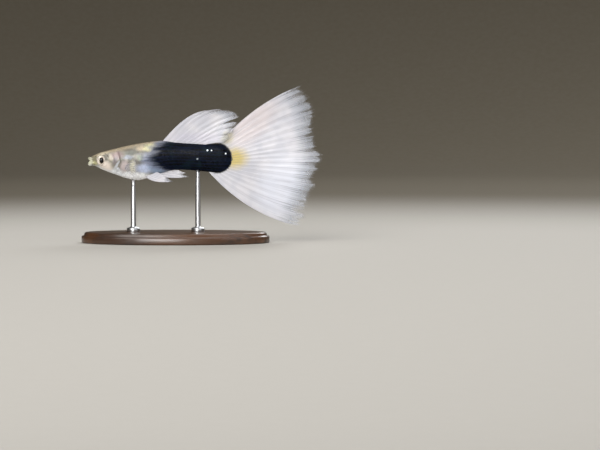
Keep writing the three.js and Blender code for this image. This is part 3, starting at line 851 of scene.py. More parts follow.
def even_ring(x):
    """Points round the body at x, evenly spaced, from the back round to the back."""
    turn = np.linspace(0, 1, FINE_SIDES + 1)
    fine = body_points(np.full_like(turn, x), turn, -SCALE_DEPTH)
    steps = np.linalg.norm(np.diff(fine, axis=0), axis=1)
    length = np.concatenate([[0], np.cumsum(steps)])
    wanted = np.linspace(0, length[-1], GUIDE_SIDES + 1)
    return np.stack([np.interp(wanted, length, fine[:, k]) for k in range(3)], axis=-1)


guide_x = np.linspace(GUIDE_FRONT, GUIDE_END, GUIDE_ROWS + 1)
guide_points = np.stack([even_ring(x) for x in guide_x])
faces = grid(*guide_points.shape[:2])[1].tolist()
wrapped = to_frame(pinched(guide_points)).reshape(-1, 3)
guide_mesh = make_mesh("body_guide", wrapped, faces, False)
unwrap = guide_mesh.uv_layers.new(name="unwrap")
corners = np.array([loop.vertex_index for loop in guide_mesh.loops])
row, column = np.divmod(corners, GUIDE_SIDES + 1)
flat = np.stack([row / GUIDE_ROWS, column / GUIDE_SIDES], axis=-1)
unwrap.data.foreach_set("uv", flat.ravel())
guide = placed("body_guide", guide_mesh)
print("guide:", len(faces), "faces")

# %% The points where scales grow
SCALE_ROWS = 20
SCALE_PITCH = 0.9
SCALE_HALF_LENGTH = 0.78
SCALE_HALF_WIDTH = 0.86  # in rows
FIRST_SCALE = 4.6
NAPE_SCALES = 5.0
BREAST_SCALES = 6.4
STEM_MARGIN = 0.42  # between the last scales' roots and the round edge


def guide_height(u, v):
    """The height of the guide at an unwrapped place."""
    i = int(round(np.clip(u, 0, 1) * GUIDE_ROWS))
    j = int(round((v % 1) * GUIDE_SIDES))
    return guide_points[i, j, 2]


def has_scale(x, z):
    """Whether the body carries scales there."""
    if x < float(gill_edge(z)) + 0.1 or x < (NAPE_SCALES if z > 0 else BREAST_SCALES):
        return False
    away = math.hypot(x - STEM_CENTRE[0], z - STEM_CENTRE[1])
    return x < STEM_CENTRE[0] or away < STEM_RADIUS - STEM_MARGIN


roots = []
for row in range(SCALE_ROWS):
    v = (row + 0.5) / SCALE_ROWS
    x = FIRST_SCALE + (row % 2) * SCALE_PITCH / 2
    while x < STANDARD_LENGTH:
        u = (x - GUIDE_FRONT) / GUIDE_LENGTH
        if has_scale(x, guide_height(u, v)):
            roots.append((u, v, 0.0))
        x += SCALE_PITCH
root_mesh = bpy.data.meshes.new("scale_roots")
root_mesh.from_pydata(roots, [], [])
spread = (SCALE_HALF_LENGTH / GUIDE_LENGTH, SCALE_HALF_WIDTH / SCALE_ROWS, 1.0)
keep(root_mesh, "spread", np.tile(spread, len(roots)), "FLOAT_VECTOR", "vector")
print(len(roots), "scales")

# %% [markdown]
# The tree makes one scale from a square grid pressed into a disc, with a second, lower
# disc under it that shares its rim, so that each scale is a closed thin lens. Its
# front end is sunk into the skin and its free end stands over the scale behind. The
# colour map for the export gives each scale one small patch at its root's place.

# %% The tree that makes, sets and wraps the scales
SCALE_GRID = 7  # points along each side of the square
PATCH_HALF = 0.0015  # half of a scale's share of the colour map
RIM_FOLD = 1.2  # edges folded more than this, in radians, are shaded sharp
MERGE_WITHIN = 1e-6  # of the two discs' shared rim
GEOMETRY = {"Mesh": "Geometry"}


def run_tree(carrier, tree, values):
    """Gives the carrier the tree, and takes what comes out as a plain mesh."""
    modifier = carrier.modifiers.new(tree.name, "NODES")
    modifier.node_group = tree
    for item in tree.interface.items_tree:
        if item.in_out == "INPUT" and item.name in values:
            modifier[item.identifier] = values[item.name]
    return taken(carrier)


def scale_lens(sheet, entry):
    """One scale: its length runs from -1 to 1, and its height is in metres."""
    flat = {"Size X": 2.0, "Size Y": 2.0, "Vertices X": SCALE_GRID, "Vertices Y": SCALE_GRID}
    square = sheet.add("GeometryNodeMeshGrid", flat)
    a, b = sheet.parts(sheet.add("GeometryNodeInputPosition"))[:2]

    def pressed(one, other):
        half = sheet.times(sheet.times(other, other), 0.5)
        return sheet.times(one, sheet.math("SQRT", sheet.minus(1.0, half)))

    length = pressed(a, b)
    width = pressed(b, a)
    disc = sheet.point(length, width)
    from_middle = sheet.length(disc)
    inside = sheet.minus(1.0, sheet.times(from_middle, from_middle), True)
    swell = sheet.times(inside, entry["Thickness"])
    climb = sheet.plus(entry["Tip rise"], entry["Root sink"])
    lie = sheet.times(sheet.plus(sheet.times(length, 0.5), 0.5), climb)
    lie = sheet.minus(lie, entry["Root sink"])
    square = sheet.stored(square, "patch", disc)
    upper, lower = [
        sheet.step("SetPosition", square, {"Position": sheet.point(length, width, height)})
        for height in (sheet.plus(lie, swell), sheet.minus(lie, swell))
    ]
    lens = sheet.step("JoinGeometry", upper)
    lower = sheet.add("GeometryNodeFlipFaces", {"Mesh": lower})
    sheet.fill(lens.node.inputs, {"Geometry": lower})
    return sheet.step("MergeByDistance", lens, {"Distance": MERGE_WITHIN})


def scale_tree():
    """Sets a scale on each root, and wraps them all round the guide."""
    sheet, entry, leaving = node_group(
        "overlapping_scales",
        "GeometryNodeTree",
        {
            **GEOMETRY, "Guide": "Object", "Root sink": "Float", "Tip rise": "Float",
            "Thickness": "Float", "Unevenness": "Float", "Seed": "Int", "Finish": "Material",
        },
        GEOMETRY,
    )
    lens = scale_lens(sheet, entry)
    position = sheet.add("GeometryNodeInputPosition")
    uneven = entry["Unevenness"]
    uneven = sheet.chance(sheet.minus(1.0, uneven), sheet.plus(1.0, uneven), entry["Seed"])
    size = sheet.scale(sheet.named("spread"), uneven)
    points = sheet.stored(entry["Mesh"], "root", position)
    points = sheet.stored(points, "own_number", sheet.chance(0.0, 1.0, 5), "FLOAT")
    scales = sheet.add(
        "GeometryNodeInstanceOnPoints", {"Points": points, "Instance": lens, "Scale": size}
    )
    scales = sheet.step("RealizeInstances", scales)
    colour_place = sheet.vector(
        "ADD", sheet.named("root"), sheet.scale(sheet.named("patch"), PATCH_HALF)
    )
    scales = sheet.stored(scales, "OFBake", colour_place, "FLOAT2", "CORNER")

    u, v, height = sheet.parts(position)
    target = sheet.point(u, sheet.math("FRACT", v))
    surface = sheet.add("GeometryNodeObjectInfo", {"Object": entry["Guide"]}, "Geometry")
    unwrap = sheet.named("unwrap")
    ground, outward = [
        sheet.add(
            "GeometryNodeSampleUVSurface",
            {"Mesh": surface, "Value": value, "UV Map": unwrap, "Sample UV": target},
            data_type="FLOAT_VECTOR",
        )
        for value in (position, sheet.add("GeometryNodeInputNormal"))
    ]
    wrapped = sheet.vector("ADD", ground, sheet.scale(outward, height))
    scales = sheet.step("SetPosition", scales, {"Position": wrapped})
    for name in ("spread", "root"):
        scales = sheet.step("RemoveAttribute", scales, {"Name": name})
    scales = sheet.step("SetShadeSmooth", scales)
    sharp = sheet.math("GREATER_THAN", sheet.add("GeometryNodeInputMeshEdgeAngle"), RIM_FOLD)
    rims = {"Selection": sharp, "Shade Smooth": False}
    scales = sheet.step("SetShadeSmooth", scales, rims, domain="EDGE")
    scales = sheet.step("SetMaterial", scales, {"Material": entry["Finish"]})
    sheet.fill(leaving, {"Mesh": scales})
    return sheet.tree


coat = run_tree(placed("scale_roots", root_mesh), scale_tree(), {
    "Guide": guide,
    "Root sink": 0.03 * MM,
    "Tip rise": 0.045 * MM,
    "Thickness": 0.012 * MM,
    "Unevenness": 0.06,
    "Seed": 3,
    "Finish": scale_finish,
})
bpy.data.objects.remove(guide)
add_piece("scale_coat", coat)
print("colour maps:", [layer.name for layer in coat.uv_layers])

# %% [markdown]
# ## Eyes
#
# A guppy's eye is a flattened ball that stands a little out of the head. The silver
# iris is a shallow dish round an upright oval pupil, where the lens bulges forward.
# The dish and the lens are shaped in one mesh and told apart by colour.

# %% The eye's finish
PUPIL = (0.43, 0.64)  # half width and half height

sheet, sockets, eye_finish = material("wet_eye")
steady = sheet.group(place_on_fish)["Place"]
in_eye = sheet.ellipse(steady, EYE_CENTRE, (EYE_RADIUS, EYE_RADIUS))
from_pupil = sheet.length(sheet.ellipse(steady, EYE_CENTRE, PUPIL))
flecks = sheet.noise(steady, 4.0, 4.0)
iris = sheet.mix(sheet.ramp(flecks, 0.35, 0.65), "dccfc0", "efe6dd")
iris = sheet.over(iris, "a2967c", sheet.parts(in_eye)[2], 0.35, 1.0, 0.5)
iris = sheet.over(iris, "b3a999", sheet.length(in_eye), 0.9, 1.0)
iris = sheet.over(iris, "b5a48f", from_pupil, 1.25, 1.05)
sheet.fill(sockets, {
    "Base Color": sheet.over(iris, "050505", from_pupil, 1.08, 0.98),
    "Metallic": sheet.ramp(from_pupil, 0.98, 1.08, 0.0, 0.35),
    "Roughness": sheet.ramp(flecks, 0.3, 0.7, 0.2, 0.32),
    "Coat Weight": 0.2,
    "Coat Roughness": 0.02,
    "Specular IOR Level": 0.2,
})

# %% The eyeballs
IRIS_DISH = 0.05
LENS_BULGE = 0.06


def eye_mesh(side):
    rings = ball(sides=96, rows=72, gap=0.01) * (EYE_RADIUS, EYE_DEPTH, EYE_RADIUS)
    a, depth, c = np.moveaxis(rings, -1, 0)
    in_pupil = np.hypot(a / PUPIL[0], c / PUPIL[1])
    share = np.hypot(a, c) / EYE_RADIUS
    dish = smoothstep(0.98, 1.25, in_pupil) * (1 - smoothstep(0.8, 0.96, share))
    lens = LENS_BULGE * np.sqrt(np.clip(1 - in_pupil**2, 0, 1))
    depth = depth + np.where(depth > 0, lens - IRIS_DISH * dish, 0)
    rings = np.stack([a, side * depth, c], axis=-1) + eye_middle(side)
    return make_mesh("eye", *loft(to_frame(rings)))


for name, side in (("left", -1), ("right", 1)):
    add_piece(f"guppy_eye_{name}", eye_mesh(side), eye_finish, [f"eye_{name}"])

# %% [markdown]
# ## The paths of the fin rays
#
# A fin is a fan of bony rays with a thin web between them. Each fin is one function
# that turns two shares, across the fan and along the rays, into a place, so that rays
# and web both follow it. The numbers are the solids' own.

# %% Curves in the plane
TAIL = dict(
    root_centre=np.array([27.0, 0.1]), root_reach=np.array([3.9, 2.35]), root_turn=(-100, 72),
    low=-15.0, high=15.8, rear=50.6, bow=4.3, flare=(18, 13), droop=(20, 15),
    wave=0.75, waves=(1.25, 0.3),
)
DORSAL = dict(
    base=(16.3, 24.1), sink=0.6, start=(50, 11), droop=-10, lean=1.25,
    margin=np.array([
        [0, 27.0, 10.7],
        [0.25, 30.0, 10.95],
        [0.5, 33.6, 9.8],
        [0.68, 32.9, 7.9],
        [0.85, 31.9, 5.8],
        [1, 30.3, 3.55],
    ]),
)
PELVIC = dict(
    base=(12.7, 15.2), sink=0.7, apart=0.92, splay=0.35,
    front_tip=(18.9, -5.15), back_tip=(17.7, -4.4), start=(-46, 4), end=(6, -20),
)
ANAL = dict(
    base=(14.4, 18.6), sink=0.6, apart=0, splay=0,
    front_tip=(22.4, -4.1), back_tip=(21.7, -3.15), start=(-26, -2), end=(8, -8),
)
PECTORAL = dict(
    x=8.3, turn=0.3, sink=0.2, length=4.3, spread=(-30, 36), rounding=0.26,
    root=0.3, out=0.72, down=0.24, cup=0.4,
)


def towards(degrees):
    angle = np.radians(degrees)
    return np.stack([np.cos(angle), np.sin(angle)], axis=-1)


def bend(start, start_angle, end, end_angle, t):
    """A cubic curve in the side view, given its ends and end directions in degrees."""
    third = np.linalg.norm(end - start, axis=-1, keepdims=True) / 3
    a = start + third * towards(start_angle)
    b = end - third * towards(end_angle)
    t = np.asarray(t)[..., None]
    s = 1 - t
    return s**3 * start + 3 * s * s * t * a + 3 * s * t * t * b + t**3 * end


def fin_points(flat, across):
    return np.stack([flat[..., 0], across, flat[..., 1]], axis=-1)


# %% The fins' own paths


def tail_path(u, v):
    start = TAIL["root_centre"] + TAIL["root_reach"] * towards(between(TAIL["root_turn"], u))
    z = between((TAIL["low"], TAIL["high"]), u)
    middle = (TAIL["low"] + TAIL["high"]) / 2
    x = TAIL["rear"] - TAIL["bow"] * ((z - middle) / (TAIL["high"] - middle)) ** 2
    end = np.stack([x, z], axis=-1)
    run = end - start
    straight = np.degrees(np.arctan2(run[..., 1], run[..., 0]))
    edge = (2 * u - 1) * np.abs(2 * u - 1)
    flare = np.where(u < 0.5, *TAIL["flare"])
    droop = np.where(u < 0.5, *TAIL["droop"])
    flat = bend(start, straight + flare * edge, end, straight - droop * edge, v)
    phase = TAIL["waves"][0] * u + TAIL["waves"][1] * v
    return fin_points(flat, TAIL["wave"] * np.sin(2 * np.pi * phase) * v**1.6)


def dorsal_path(u, v):
    x = between(DORSAL["base"], u)
    start = np.stack([x, body_at(x, BACK) - DORSAL["sink"]], axis=-1)
    end = np.stack([along(DORSAL["margin"], u, 1), along(DORSAL["margin"], u, 2)], axis=-1)
    end_angle = -DORSAL["droop"] * np.sin(np.pi * u)
    flat = bend(start, between(DORSAL["start"], u), end, end_angle, v)
    return fin_points(flat, -DORSAL["lean"] * v**1.4)


def under_path(fin, side):
    """The path of a pelvic fin, or of the anal fin."""

    def path(u, v):
        x = between(fin["base"], u)
        start = np.stack([x, body_at(x, BELLY) + fin["sink"]], axis=-1)
        tips = [between((fin["front_tip"][k], fin["back_tip"][k]), u) for k in (0, 1)]
        end = np.stack(tips, axis=-1)
        flat = bend(start, between(fin["start"], u), end, between(fin["end"], u), v)
        return fin_points(flat, side * (fin["apart"] + fin["splay"] * v * v))

    return path


def pectoral_frame(side):
    """Where a pectoral fin grows, its way back, its up and its face."""
    x, y, z = body_points(np.array(PECTORAL["x"]), np.array(PECTORAL["turn"]))
    way = np.array([1, side * PECTORAL["out"], -PECTORAL["down"]])
    return np.array([x, side * (y - PECTORAL["sink"]), z]), *upright(way)


def pectoral_path(side):
    origin, way, up, face = pectoral_frame(side)

    def path(u, v):
        angle = np.radians(between(PECTORAL["spread"], u))[..., None]
        tall = ((u - 0.5) * 2 * PECTORAL["root"])[..., None]
        length = PECTORAL["length"] * (1 - PECTORAL["rounding"] * (2 * u - 1) ** 2) * v
        length = length[..., None]
        rise = tall + length * np.sin(angle)
        cup = side * PECTORAL["cup"] * v[..., None] ** 2
        return origin + up * rise + way * (length * np.cos(angle)) + face * cup

    return path


# %% [markdown]
# ## Fin webs
#
# The web is a closed sheet, thinner towards its margin. It is pleated a little between
# the rays, and its margin is ragged: it runs out to the tip of each fine ray and falls
# back between them, with a deeper tear here and there. Three attributes are kept for
# the finish: how far out a point lies, how far from the nearest ray, and its place
# across the fan.

# %% A web and its margin
SIDEWAYS = np.array([0, 1.0, 0])
COLUMNS_A_TIP = 3
MARGIN_HALF = 0.25  # a web's thickness at its margin, as a share


class Fin:
    """One fin: its path, the number of its rays and how they fork and end."""

    def __init__(
        self, path, rays, forks, half, pleat, notch, vary, seed,
        tuft=None, lobe=0, clefts=(), across=SIDEWAYS,
    ):
        self.path = path
        self.rays = rays
        self.forks = forks
        self.half = half
        self.pleat = pleat
        self.across = across
        self.tips = rays * 2 ** len(forks)
        place = (np.arange(self.tips) + 0.5) / self.tips
        random = np.random.default_rng(seed)
        drift = random.uniform(-1, 1, rays)
        drift = np.interp(np.linspace(0, 1, self.tips), np.linspace(0, 1, rays), drift)
        self.lengths = 1 + vary * (0.6 * drift + 0.4 * random.uniform(-1, 1, self.tips))
        if tuft:
            self.lengths += tuft(place)
        self.notches = notch * random.uniform(0.6, 1.2, self.tips + 1)
        lobes = lobe * random.uniform(0, 1.6, rays + 1) ** 1.5
        lobes[[0, -1]] = 0
        self.notches[:: self.tips // rays] += lobes
        from_middle = np.abs(2 * ((place * rays) % 1) - 1)
        self.lengths -= lobes[np.round(place * rays).astype(int)] * from_middle**2
        for cleft in clefts:
            self.lengths -= ridge(place, *cleft)
        self.jitter = random.uniform(-0.04, 0.04, rays)

    def nearness(self, u):
        """One on the line between two rays, and nothing on a ray."""
        return (1 + np.cos(2 * np.pi * self.rays * u)) / 2

    def at(self, u, v):
        """A place in the fin, with the pleat between rays."""
        u, v = np.broadcast_arrays(np.asarray(u, float), np.asarray(v, float))
        fold = self.nearness(u) * smoothstep(0.1, 0.5, v)
        return self.path(u, v) + self.across * (self.pleat * fold)[..., None]

    def length_at(self, u):
        """How far the web reaches at u, in shares of the path."""
        along_tips = np.clip(u * self.tips - 0.5, -0.5, self.tips - 0.5)
        low = np.clip(np.floor(along_tips).astype(int), 0, self.tips - 1)
        high = np.clip(low + 1, 0, self.tips - 1)
        share = np.clip(along_tips - low, 0, 1)
        tip = between((self.lengths[low], self.lengths[high]), share)
        gap = np.clip(np.floor(along_tips).astype(int) + 1, 0, self.tips)
        return tip - self.notches[gap] * np.sin(np.pi * (along_tips % 1)) ** 0.8


def web_mesh(name, fin, rows):
    columns = fin.tips * COLUMNS_A_TIP + 1
    u = np.linspace(0, 1, columns)[:, None]
    share = np.linspace(0, 1, rows + 1)[None, :] ** 0.85
    v = share * fin.length_at(u)
    middle = fin.at(u, v)
    half = fin.half * (1 - (1 - MARGIN_HALF) * smoothstep(0.55, 1, share)) + 0 * u
    across = fin.across * half[..., None]
    index, quads = grid(columns, rows + 1)
    rim = np.concatenate([index[:, 0], index[-1, 1:], index[-2::-1, -1], index[0, -2:0:-1]])
    after = np.roll(rim, -1)
    wall = np.stack([rim, rim + index.size, after + index.size, after], axis=-1)
    faces = np.concatenate([quads, quads[:, ::-1] + index.size, wall])
    points = np.concatenate([side.reshape(-1, 3) for side in (middle - across, middle + across)])
    mesh = make_mesh(name, to_frame(points), faces.tolist())
    kept = {"reach_out": share, "from_ray": fin.nearness(u), "fan": u * fin.rays}
    for label, values in kept.items():
        keep(mesh, label, np.tile(np.broadcast_to(values, v.shape).ravel(), 2))
    return mesh


# %% [markdown]
# ## Fin rays
#
# Each bony ray splits in two, and the halves split again, so that the margin is closed
# by many hair-fine tips. Python draws the branching lines with a radius at each point,
# and Geometry Nodes turn every line into a round, tapering bar.

# %% The branching lines
RAY_STEP = 0.4  # mm between points of a ray
RAY_TIP = 0.014  # radius
THINNER = 0.7  # a branch's radius as a share of the one it forks from
SWING = 0.55  # share of a branch's length in which it swings to its own place


def ray_lines(fin, radius):
    """Every stretch of ray between two forks: its places, and its radius at each."""
    lines = []
    for ray in range(fin.rays):
        middle = (ray + 0.5) / fin.rays
        branches = [(middle, middle, 0.0)]
        for order, fork in enumerate([*fin.forks, None]):
            thick = radius * THINNER**order
            offset = 0.25 / (fin.rays * 2**order)
            grown = []
            for before, own, start in branches:
                tip = int(np.clip(own * fin.tips, 0, fin.tips - 1))
                end = fin.lengths[tip] + 0.01 if fork is None else fork + fin.jitter[ray]
                span = np.linalg.norm(np.diff(fin.at(own, np.array([start, end])), axis=0))
                v = np.linspace(start, end, max(4, int(span / RAY_STEP) + 1))
                swung = max(between((start, end), SWING), start + 1e-6)
                u = before + (own - before) * smoothstep(start, swung, v)
                thin = RAY_TIP if fork is None else thick * THINNER
                taper = np.interp(v, [start, end], [thick, thin])
                lines.append((fin.at(u, v), taper, v / fin.lengths[tip]))
                grown += [(own, own - offset, end), (own, own + offset, end)]
            branches = grown
    return lines


def line_mesh(lines):
    """The lines as a mesh of edges that keeps their radius and reach."""
    stretches, tapers, shares = zip(*lines)
    edges, start = [], 0
    for stretch in stretches:
        edges += [(i, i + 1) for i in range(start, start + len(stretch) - 1)]
        start += len(stretch)
    mesh = bpy.data.meshes.new("lines")
    mesh.from_pydata(to_frame(np.concatenate(stretches)).tolist(), edges, [])
    keep(mesh, "thickness", np.concatenate(tapers) * MM)
    keep(mesh, "reach_out", np.concatenate(shares))
    return mesh


def ray_tree():
    """Turns a mesh of lines into round bars of the thickness they carry."""
    sheet, entry, leaving = node_group(
        "fin_rays", "GeometryNodeTree", {**GEOMETRY, "Sides": "Int", "Finish": "Material"}, GEOMETRY
    )
    curve = sheet.add("GeometryNodeMeshToCurve", {"Mesh": entry["Mesh"]})
    ring = sheet.add(
        "GeometryNodeCurvePrimitiveCircle", {"Resolution": entry["Sides"], "Radius": 1.0}
    )
    thick = sheet.named("thickness", "FLOAT")
    bars = sheet.add(
        "GeometryNodeCurveToMesh",
        {"Curve": curve, "Profile Curve": ring, "Scale": thick, "Fill Caps": True},
    )
    bars = sheet.step("RemoveAttribute", bars, {"Name": "thickness"})
    bars = sheet.step("RealizeInstances", sheet.step("SetShadeSmooth", bars))
    bars = sheet.step("SetMaterial", bars, {"Material": entry["Finish"]})
    sheet.fill(leaving, {"Mesh": bars})
    return sheet.tree


bars_from_lines = ray_tree()
print("tree:", bars_from_lines.name)

# %% [markdown]
# ## Fin finish
#
# The fins are milky white. The tail is golden where it leaves the stem, pinkish in its
# upper rays and cool lilac below, and both webs clear towards the margin, where only
# the rays stay white. The tint is one group, used by web and rays alike.

# %% The tint of the fins
# name, centre (x, z), half sizes, turn in degrees, colour, strength
FIN_PATCHES = [
    ("pink", (36.5, 7.5), (8.5, 4.0), -45, "d4c3bf", 0.5),
    ("lilac", (43.5, -6.0), (7.0, 8.0), 30, "e2e6f2", 0.6),
    ("dorsal_base", (24.5, 4.6), (7.5, 1.6), 0, "c0bccb", 0.5),
    ("cream", (31.2, 4.6), (1.6, 1.9), 30, "cbc197", 0.6),
]
GOLD = [("gold", (32.6, 0.1), (4.4, 3.3), 0, "c4ae4e", 0.92)]
GOLD_SOFT = (1.0, 0.25)
FRINGE = (0.62, 0.3)  # the black frays out this far beyond the tail stem

sheet, entry, leaving = node_group("fin_tint", "ShaderNodeTree", {}, {"Colour": "Color"})
steady, shaken = sheet.group(place_on_fish, {"Shake": 0.8})
milk = sheet.noise(steady, 0.25, 2.0)
tone = sheet.mix(sheet.ramp(milk, 0.35, 0.65), "bfbfc7", "cfcdd2")
tone = sheet.patches(tone, shaken, FIN_PATCHES)
tone = sheet.patches(tone, shaken, GOLD, GOLD_SOFT)
from_stem = sheet.vector("DISTANCE", steady, (STEM_CENTRE[0], 0, STEM_CENTRE[1]), "Value")
fray = sheet.times(sheet.noise(steady, 2.6, 2.0), 0.5)
fringe = sheet.ramp(
    sheet.plus(from_stem, fray), STEM_RADIUS + FRINGE[0], STEM_RADIUS + FRINGE[1]
)
in_tail = sheet.ramp(sheet.parts(steady)[0], STEM_CENTRE[0] - 1.5, STEM_CENTRE[0])
tone = sheet.mix(sheet.times(fringe, in_tail), tone, "12151b")
sheet.fill(leaving, {"Colour": tone})
fin_tint = sheet.tree
print("group:", fin_tint.name)

# %% The fins' materials
MARGIN_FROM = 0.78  # share of the web's reach where it starts to clear
FIN_BUMP = 0.4


def fin_material(name, solid, clear, ray=False):
    """Web or ray: solid and clear are its opacity at the root and at the margin."""
    sheet, sockets, made = material(name)
    tint = sheet.group(fin_tint)["Colour"]
    out = sheet.attribute("reach_out")
    opacity = sheet.ramp(out, MARGIN_FROM, 1.0, solid, clear)
    if ray:
        relief = sheet.cells(sheet.group(place_on_fish)["Place"], 2.6)
    else:
        gap = sheet.attribute("from_ray")
        fan = sheet.point(sheet.attribute("fan"), out)
        relief = sheet.noise(fan, 1.0, 4.0, (5.5, 1.6, 1.0))
        shade = sheet.times(gap, sheet.ramp(out, 0.1, 0.8, 0.1, 0.04))
        shade = sheet.plus(shade, sheet.ramp(relief, 0.48, 0.72, 0.0, 0.4), True)
        tint = sheet.mix(shade, tint, "93929f")
        tint = sheet.over(tint, "a8b3c0", out, 0.75, 1.0, 0.6)
        thin = sheet.times(gap, sheet.ramp(out, 0.7, 1.0, 0.02, 0.14))
        worn = sheet.times(sheet.ramp(relief, 0.5, 0.7), sheet.ramp(out, 0.6, 1.0, 0.0, 0.35))
        opacity = sheet.minus(sheet.minus(opacity, thin), worn, True)
    sheet.fill(sockets, {
        "Base Color": tint,
        "Alpha": opacity,
        "Normal": sheet.bump(relief, FIN_BUMP, SKIN_BUMP),
        "Roughness": 0.42,
        "Coat Weight": 0.25,
        "Coat Roughness": 0.2,
    })
    return made


# the slot, and the finish of the web and of the rays
WHITE = (
    "white_fin",
    fin_material("white_web", 0.98, 0.32),
    fin_material("white_rays", 1.0, 0.45, ray=True),
)
CLEAR = (
    "clear_fin",
    fin_material("clear_web", 0.15, 0.07),
    fin_material("clear_rays", 0.28, 0.12, ray=True),
)

# %% Make the fins
RAY_SIDES = 6
DORSAL_CLEFTS = [(0.62, 0.03, 0.2), (0.3, 0.03, 0.06)]  # place, width, depth
ANAL_CLEFTS = [(0.55, 0.12, 0.14)]


def tail_tuft(u):
    """Where the tail's rays run out further: in the middle and in the upper lobe."""
    return 0.01 + ridge(u, 0.5, 0.035, 0.07) + ridge(u, 0.84, 0.1, 0.055)


def dorsal_tuft(u):
    return 0.01 + ridge(u, 0.9, 0.2, 0.05)


# piece, rows, radius of a ray, finish, then the fin: path, rays, forks, half thickness,
# pleat, notch, variation, seed
FINS = [
    ("tail_{}", 60, 0.1, WHITE, Fin(
        tail_path, 18, (0.34, 0.6, 0.84), 0.05, 0.03, 0.02, 0.05, 7,
        tuft=tail_tuft, lobe=0.016,
    )),
    ("dorsal_{}", 40, 0.09, WHITE, Fin(
        dorsal_path, 8, (0.35, 0.6, 0.84), 0.045, 0.04, 0.012, 0.03, 11,
        tuft=dorsal_tuft, lobe=0.06, clefts=DORSAL_CLEFTS,
    )),
    ("anal_{}", 26, 0.1, WHITE, Fin(
        under_path(ANAL, 0), 5, (0.5,), 0.05, 0.03, 0.04, 0.03, 31,
        lobe=0.06, clefts=ANAL_CLEFTS,
    )),
]
for name, side in (("left", -1), ("right", 1)):
    FINS.append(("pelvic_{}_" + name, 26, 0.09, WHITE, Fin(
        under_path(PELVIC, side), 6, (0.5,), 0.045, 0.04, 0.05, 0.04, 23, lobe=0.07,
    )))
    FINS.append(("pectoral_{}_" + name, 24, 0.07, CLEAR, Fin(
        pectoral_path(side), 7, (0.5,), 0.035, 0.03, 0.04, 0.03, 41,
        across=pectoral_frame(side)[3],
    )))
for name, rows, radius, (slot, web_finish, ray_finish), fin in FINS:
    web = web_mesh("web", fin, rows)
    add_piece(name.format("web"), web, web_finish, [name.format("fin")])
    carrier = placed("lines", line_mesh(ray_lines(fin, radius)))
    bars = run_tree(carrier, bars_from_lines, {"Sides": RAY_SIDES, "Finish": ray_finish})
    add_piece(name.format("rays"), bars)

# %% [markdown]
# ## Stand
#
# The base is an oval of dark polished wood with a softly moulded edge, made by
# carrying one profile round an ellipse. Each rod is satin steel, turned with a collar
# where it enters the wood and a narrow neck where it meets the belly.

# %% Wood and steel
sheet, sockets, wood_finish = material("polished_wood")
grain = sheet.noise(sheet.here(), 1.0, 6.0, (60.0, 900.0, 500.0))
figure = sheet.noise(sheet.here(), 1.0, 3.0, (25.0, 160.0, 90.0))
wood = sheet.mix(sheet.ramp(figure, 0.35, 0.65), "3a2415", "5a3a22")
sheet.fill(sockets, {
    "Base Color": sheet.over(wood, "1d110a", grain, 0.45, 0.75, 0.7),
    "Roughness": sheet.ramp(grain, 0.3, 0.7, 0.32, 0.5),
    "Normal": sheet.bump(grain, 0.25, 0.0001),
    "Coat Weight": 0.5,
    "Coat Roughness": 0.15,
})

sheet, sockets, steel_finish = material("satin_steel")
lathe_marks = sheet.noise(sheet.here(), 1.0, 2.0, (300.0, 300.0, 9000.0))
sheet.fill(sockets, {
    "Base Color": sheet.mix(lathe_marks, "b9babc", "c9cacb"),
    "Roughness": sheet.ramp(lathe_marks, 0.3, 0.7, 0.3, 0.36),
    "Metallic": 1.0,
})

# %% The oval base
BASE_HALF = (21.0, 10.5)
# how far in from the oval, and how high
BASE_PROFILE = [
    (0.5, 0.0), (0.12, 0.06), (0.0, 0.25), (0.0, 1.35), (0.06, 1.5), (0.2, 1.58),
    (0.42, 1.62), (0.56, 1.74), (0.62, 1.95), (0.72, 2.2), (0.95, 2.36), (1.25, 2.4),
]
BEVEL = 0.06


def turned(profile, sides):
    """Level ellipses up a profile of half lengths, half widths and heights."""
    turn = circle(sides)
    return np.array([
        np.stack([a * np.cos(turn), b * np.sin(turn), np.full(sides, height)], axis=-1)
        for a, b, height in profile
    ])


ovals = [(BASE_HALF[0] - inward, BASE_HALF[1] - inward, z) for inward, z in BASE_PROFILE]
base = make_mesh("display_base", *loft(turned(ovals, sides=180) * MM))
base = shaped(base, "BEVEL", width=BEVEL * MM, segments=2, limit_method="ANGLE")
add_piece("display_base", base, wood_finish, ["stand_base"])

# %% The rods
ROD_PLACES = (10.1, 24.5)  # behind the snout
SUNK_IN = 0.25  # how far the rod's tip enters the skin
# radius, and height above the base
ROD_FOOT = [
    (1.4, -0.1), (1.5, 0.05), (1.5, 0.7), (1.42, 0.9), (1.2, 1.0),
    (0.85, 1.04), (0.66, 1.14), (0.6, 1.4),
]
# radius, and depth below the rod's tip
ROD_NECK = [(0.6, 3.2), (0.56, 2.8), (0.45, 1.4), (0.42, 0.0)]

for name, place in zip(("front", "rear"), ROD_PLACES):
    tip = float(body_at(place, BELLY)) + SUNK_IN
    profile = [(r, r, height - AXIS_TO_BASE) for r, height in ROD_FOOT]
    profile += [(r, r, tip - below) for r, below in ROD_NECK]
    rod = make_mesh("rod", *loft(to_frame(turned(profile, sides=40) + (place, 0, 0))))
    add_piece(f"display_rod_{name}", rod, steel_finish, [f"stand_rod_{name}"])

# %% [markdown]
# ## Floor and light
#
# The floor is pale and runs up into a wall all round, like a bowl, so that no horizon
# crosses the fish from any side. A pool of light is painted on it: pale round a point
# in front of the fish and darker further away, so that the wall is painted darker with
# its height, because white fins only read against something deeper. Large soft lamps
# stand in for a studio.

# %% The studio's bowl
FLOOR_RADIUS = 0.5
COVE = 0.25
WALL_HEIGHT = 1.1
